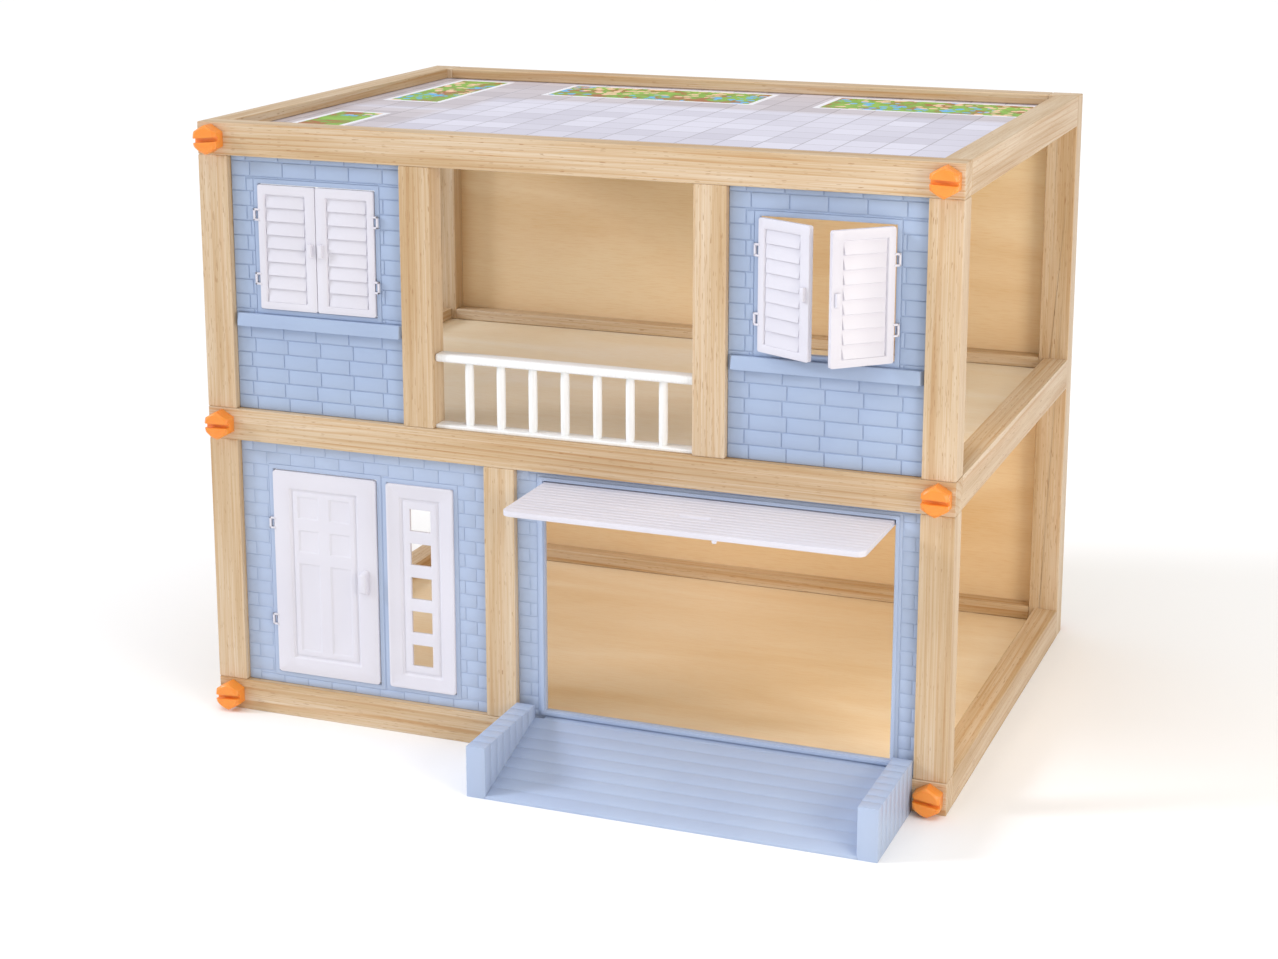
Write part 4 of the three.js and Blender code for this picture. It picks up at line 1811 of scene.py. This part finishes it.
@dataclass
class BalconyRailing:
    """The white railing: a foot rail and a rounded handrail with turned balusters between."""

    paint: bpy.types.Material
    rail_round: float = 2.2 * MM
    foot_round: float = 0.8 * MM
    neck: float = 0.86
    neck_at: float = 7 * MM

    def build(self, nodes: Iterable[str]) -> None:
        """Makes the rails and every baluster.

        Args:
            nodes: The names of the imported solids.
        """
        for name, radius in (("railing_handrail", self.rail_round), ("railing_foot", self.foot_round)):
            piece = Workpiece(f"{name}_lacquered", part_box(name)).soften(radius, 4)
            piece.finish("root", "white_paint", self.paint, name)
        balusters = sorted(name for name in nodes if name.startswith("railing_baluster"))
        first_low, first_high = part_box(balusters[0])
        pattern = self._baluster(first_low, first_high)
        for name in balusters:
            piece = pattern.copy(f"{name}_turned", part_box(name)[0] - first_low)
            piece.finish("root", "white_paint", self.paint, name)
        pattern.discard()

    def _baluster(self, low: Vector, high: Vector) -> Workpiece:
        """Turns one baluster: a round bar drawn in a little towards both ends.

        Args:
            low: Its lowest corner.
            high: Its highest corner.

        Returns:
            The baluster.
        """
        middle = (low + high) / 2
        ends = [Vector((middle.x, middle.y, z)) for z in (low.z, high.z)]
        piece = Workpiece.round("baluster", ends, (high.x - low.x) / 2, 28)
        cuts = (low.z + self.neck_at, high.z - self.neck_at, middle.z)
        piece.cut_lines([(Axis.Z, z) for z in cuts])
        for end in ends:
            piece.draw_in(at(z=end.z), Vector((self.neck, self.neck, 1)), end)
        return piece


@dataclass
class AssemblyScrews:
    """Slotted hexagonal screws: a head with a turned chamfer, and a plain shank."""

    orange: bpy.types.Material
    head_tall: float = 12 * MM
    chamfer: float = 2.6 * MM
    chamfer_tall: float = 2.6 * MM
    slot_wide: float = 3.5 * MM
    slot_deep: float = 4.6 * MM
    shank_radius: float = 3.5 * MM
    edge: float = 0.35 * MM
    slot_edge: float = 0.3 * MM
    cutter_past: float = 0.4 * MM
    slot_angles: tuple[float, ...] = (-4, 8, -2, 1, -6, 2)

    def build(self) -> None:
        """Makes every screw."""
        names = [
            f"screw_{face}_{level}_{side}"
            for face in ("front", "back")
            for level in ("bottom", "mid", "top")
            for side in ("left", "right")
        ]
        first_low, first_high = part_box(names[0])
        pattern = self._screw(first_low, first_high)
        for number, name in enumerate(names):
            low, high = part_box(name)
            middle = (low + high) / 2
            piece = pattern.copy(f"{name}_moulding", middle - (first_low + first_high) / 2)
            front = "_front_" in name
            if not front:
                piece.turn(Axis.Z, math.pi, middle)
            top = Vector((middle.x, low.y if front else high.y, middle.z))
            self._slot(piece, top, 1 if front else -1, self.slot_angles[number % len(self.slot_angles)])
            piece.finish("root", "orange_plastic", self.orange, name)
        pattern.discard()

    def _screw(self, low: Vector, high: Vector) -> Workpiece:
        """Makes one screw without its slot.

        Args:
            low: Its lowest corner, at the head's outer end.
            high: Its highest corner, at the shank's tip.

        Returns:
            The screw.
        """
        middle = (low + high) / 2
        radius = (high.z - low.z) / 2

        def on_axis(y: float) -> Vector:
            """Returns the point of the screw's axis at a place along Y."""
            return Vector((middle.x, y, middle.z))

        seat = low.y + self.head_tall
        head = Workpiece.round("screw", [on_axis(seat), on_axis(low.y)], radius, 6)
        if max(v.co.z for v in head.obj.data.vertices) - middle.z < radius * 0.99:
            head.turn(Axis.Y, math.radians(30), on_axis(low.y))
        head.soften(self.edge)
        wide = radius + self.cutter_past
        cutter = Workpiece.round("cutter", [on_axis(seat + LAP), on_axis(low.y)], wide, 72)
        cutter.cut_lines([(Axis.Y, low.y + self.chamfer_tall)])
        left = (radius - self.chamfer) / wide
        cutter.draw_in(at(y=low.y), Vector((left, 1, left)), on_axis(low.y))
        head.combine(cutter, Cut.INSIDE)
        return head.bar(on_axis(seat - LAP), on_axis(high.y), self.shank_radius, 24)

    def _slot(self, piece: Workpiece, top: Vector, inward: int, angle: float) -> None:
        """Cuts the slot across one head.

        Args:
            piece: The screw.
            top: The middle of the head's outer end.
            inward: 1 if the shank points along Y, or -1 if it points back.
            angle: How far the slot is turned from level, in degrees.
        """
        half = piece.obj.dimensions.z / 2 + LAP
        slot = Workpiece(
            "slot",
            box_of(
                (top.x - half, top.x + half),
                (top.y - inward * LAP, top.y + inward * self.slot_deep),
                (top.z - self.slot_wide / 2, top.z + self.slot_wide / 2),
            ),
        )
        slot.turn(Axis.Y, math.radians(angle), top)
        piece.combine(slot, Cut.OUTSIDE).soften(self.slot_edge, 2, 40)


# ---------------------------------------------------------------- studio


@dataclass(frozen=True)
class Studio:
    """A pale floor, soft lights and the camera."""

    target: tuple[float, float, float] = (-0.0251, 0.0582, 0.2772)
    azimuth: float = 21.087
    elevation: float = 12.875
    distance: float = 1.9559
    lens: float = 66.26
    shift_y: float = -0.1092
    floor_size: float = 60.0
    surround: float = 0.51
    fill_watts: float = 0.12
    fill_size: Pair = (0.16, 0.08)
    fill_place: Pair = (0.19, -0.1)
    fill_aim: Pair = (0.24, 0.17)
    fill_drop: float = 0.07
    fill_aim_drop: float = 0.14
    sensor: float = 36.0
    reach: float = 60.0

    def build(self) -> None:
        """Makes the camera, the floor and the lights."""
        self._camera()
        self._floor()
        self._lights()

    def _camera(self) -> None:
        """Sets up the camera."""
        azimuth, elevation = math.radians(self.azimuth), math.radians(self.elevation)
        forward = Vector(
            (
                -math.sin(azimuth) * math.cos(elevation),
                math.cos(azimuth) * math.cos(elevation),
                -math.sin(elevation),
            )
        )
        camera = bpy.data.objects.new("camera", bpy.data.cameras.new("camera"))
        bpy.context.scene.collection.objects.link(camera)
        camera.location = Vector(self.target) - forward * self.distance
        camera.rotation_euler = forward.to_track_quat("-Z", "Y").to_euler()
        camera.data.lens = self.lens
        camera.data.sensor_width = self.sensor
        camera.data.shift_y = self.shift_y
        camera.data.clip_end = self.reach
        bpy.context.scene.camera = camera

    def _floor(self) -> None:
        """Makes the floor."""
        bpy.ops.object.select_all(action="DESELECT")
        bpy.ops.mesh.primitive_plane_add(size=self.floor_size)
        floor = bpy.context.active_object
        floor.name = "studio_floor"
        shade = Shading("pale studio paper")
        shade.drive("Base Color", linear("#F9F9F9"))
        shade.drive("Roughness", 0.9)
        floor.data.materials.append(shade.material)

    def _lights(self) -> None:
        """Makes an even surround, a left key, a right softbox, a top light and two room fills."""
        world = bpy.data.worlds.new("studio")
        bpy.context.scene.world = world
        world.use_nodes = True
        background = world.node_tree.nodes["Background"]
        background.inputs["Color"].default_value = linear("#FFFFFF")
        seen = world.node_tree.nodes.new("ShaderNodeLightPath").outputs["Is Camera Ray"]
        strength = world.node_tree.nodes.new("ShaderNodeMapRange")
        strength.inputs["To Min"].default_value = self.surround
        strength.inputs["To Max"].default_value = 1.0
        world.node_tree.links.new(seen, strength.inputs["Value"])
        world.node_tree.links.new(strength.outputs[0], background.inputs["Strength"])
        self._distant("left key", azimuth=-67, elevation=26, spread=14, strength=1.6, tint="#EDF2FF")
        self._softbox(
            "right key",
            place=(1.72, -1.15, 0.75),
            aim=(0.0, 0.0, 0.2),
            size=0.8,
            watts=14.0,
            tint="#FFF5E8",
        )
        self._distant("top", azimuth=0, elevation=84, spread=70, strength=1.28, tint="#FFFFFF")
        self._room_fill("upper room fill", 0.448)
        self._room_fill("lower room fill", 0.222)
        bpy.context.scene.view_settings.view_transform = "Standard"

    def _softbox(
        self,
        name: str,
        place: Sequence[float],
        aim: Sequence[float],
        size: float,
        watts: float,
        tint: str,
    ) -> None:
        """Adds a square soft light that stands near the house.
        Args:
            name: The light's name.
            place: Where it stands.
            aim: The point it looks at.
            size: The length of its sides.
            watts: Its power.
            tint: Its hex colour.
        """
        data = bpy.data.lights.new(name, "AREA")
        data.size = size
        data.energy = watts
        data.color = linear(tint)[:3]
        light = bpy.data.objects.new(name, data)
        light.location = place
        light.rotation_euler = (Vector(aim) - Vector(place)).to_track_quat("-Z", "Y").to_euler()
        bpy.context.scene.collection.objects.link(light)

    def _room_fill(self, name: str, ceiling: float) -> None:
        """Adds a weak soft light for the daylight that comes in at a room's open right side.

        Args:
            name: The light's name.
            ceiling: The height of the room's ceiling.
        """
        data = bpy.data.lights.new(name, "AREA")
        data.shape = "RECTANGLE"
        data.size, data.size_y = self.fill_size
        data.energy = self.fill_watts
        data.color = linear("#FFE9CF")[:3]
        light = bpy.data.objects.new(name, data)
        place = Vector((*self.fill_place, ceiling - self.fill_drop))
        aim = Vector((*self.fill_aim, ceiling - self.fill_aim_drop))
        light.location = place
        light.rotation_euler = (aim - place).to_track_quat("-Z", "Y").to_euler()
        light.visible_camera = False
        light.visible_glossy = False
        bpy.context.scene.collection.objects.link(light)

    def _distant(
        self, name: str, azimuth: float, elevation: float, spread: float, strength: float, tint: str
    ) -> None:
        """Adds a large soft light far away.

        Args:
            name: The light's name.
            azimuth: Where it stands, in degrees to the right of the front.
            elevation: How high it stands, in degrees.
            spread: How large it looks from the house, in degrees.
            strength: Its irradiance.
            tint: Its hex colour.
        """
        data = bpy.data.lights.new(name, "SUN")
        data.color = linear(tint)[:3]
        data.angle = math.radians(spread)
        data.energy = strength
        light = bpy.data.objects.new(name, data)
        turn, rise = math.radians(azimuth), math.radians(elevation)
        place = Vector((math.sin(turn) * math.cos(rise), -math.cos(turn) * math.cos(rise), math.sin(rise)))
        light.location = place * 3
        light.rotation_euler = (-place).to_track_quat("-Z", "Y").to_euler()
        bpy.context.scene.collection.objects.link(light)


def main() -> None:
    """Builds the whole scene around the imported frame."""
    logging.basicConfig(level=logging.INFO, format="%(name)s: %(message)s")
    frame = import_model()
    Studio().build()
    # Cool light blue with a soft satin skin, so the brick relief reads by its shade alone.
    blue = MouldedPlastic("light blue moulded ABS", "#A6B7D2", "#A0B1CE").material()
    # The same blue painted a little paler for the lower panels and the ramp: painted light, so the lower
    # part of the house looks as lit as the upper part.
    painted_light_blue = MouldedPlastic("pale blue moulded ABS", "#AFBED7", "#A9B8D3").material()
    # Slightly cool white, smoother than the blue, with broad soft highlights on the mouldings.
    white = MouldedPlastic("white moulded ABS", "#DCDAE2", "#D6D4DD", 0.36).material()
    # Strong orange that light enters a little way, so the screw heads glow at their edges.
    orange = MouldedPlastic("orange moulded ABS", "#F1963C", "#EA8A33", 0.34, 0.35).material()
    TimberFrame().build(frame)
    left_shutters = ("shutter_left_window_left", "shutter_left_window_right")
    right_shutters = ("shutter_right_window_left", "shutter_right_window_right")
    plans = [
        WindowPlan("wall_panel_upper_left", left_shutters, (0, 0)),
        WindowPlan("wall_panel_upper_right", right_shutters, (26, 43)),
    ]
    WindowBays(blue, white).build(plans)
    DoorBay(painted_light_blue, white).build()
    GarageBay(painted_light_blue, white).build()
    Ramp(painted_light_blue).build()
    BalconyRailing(PaintedWood().material()).build(frame["nodes"])
    AssemblyScrews(orange).build()


if __name__ == "__main__":
    main()
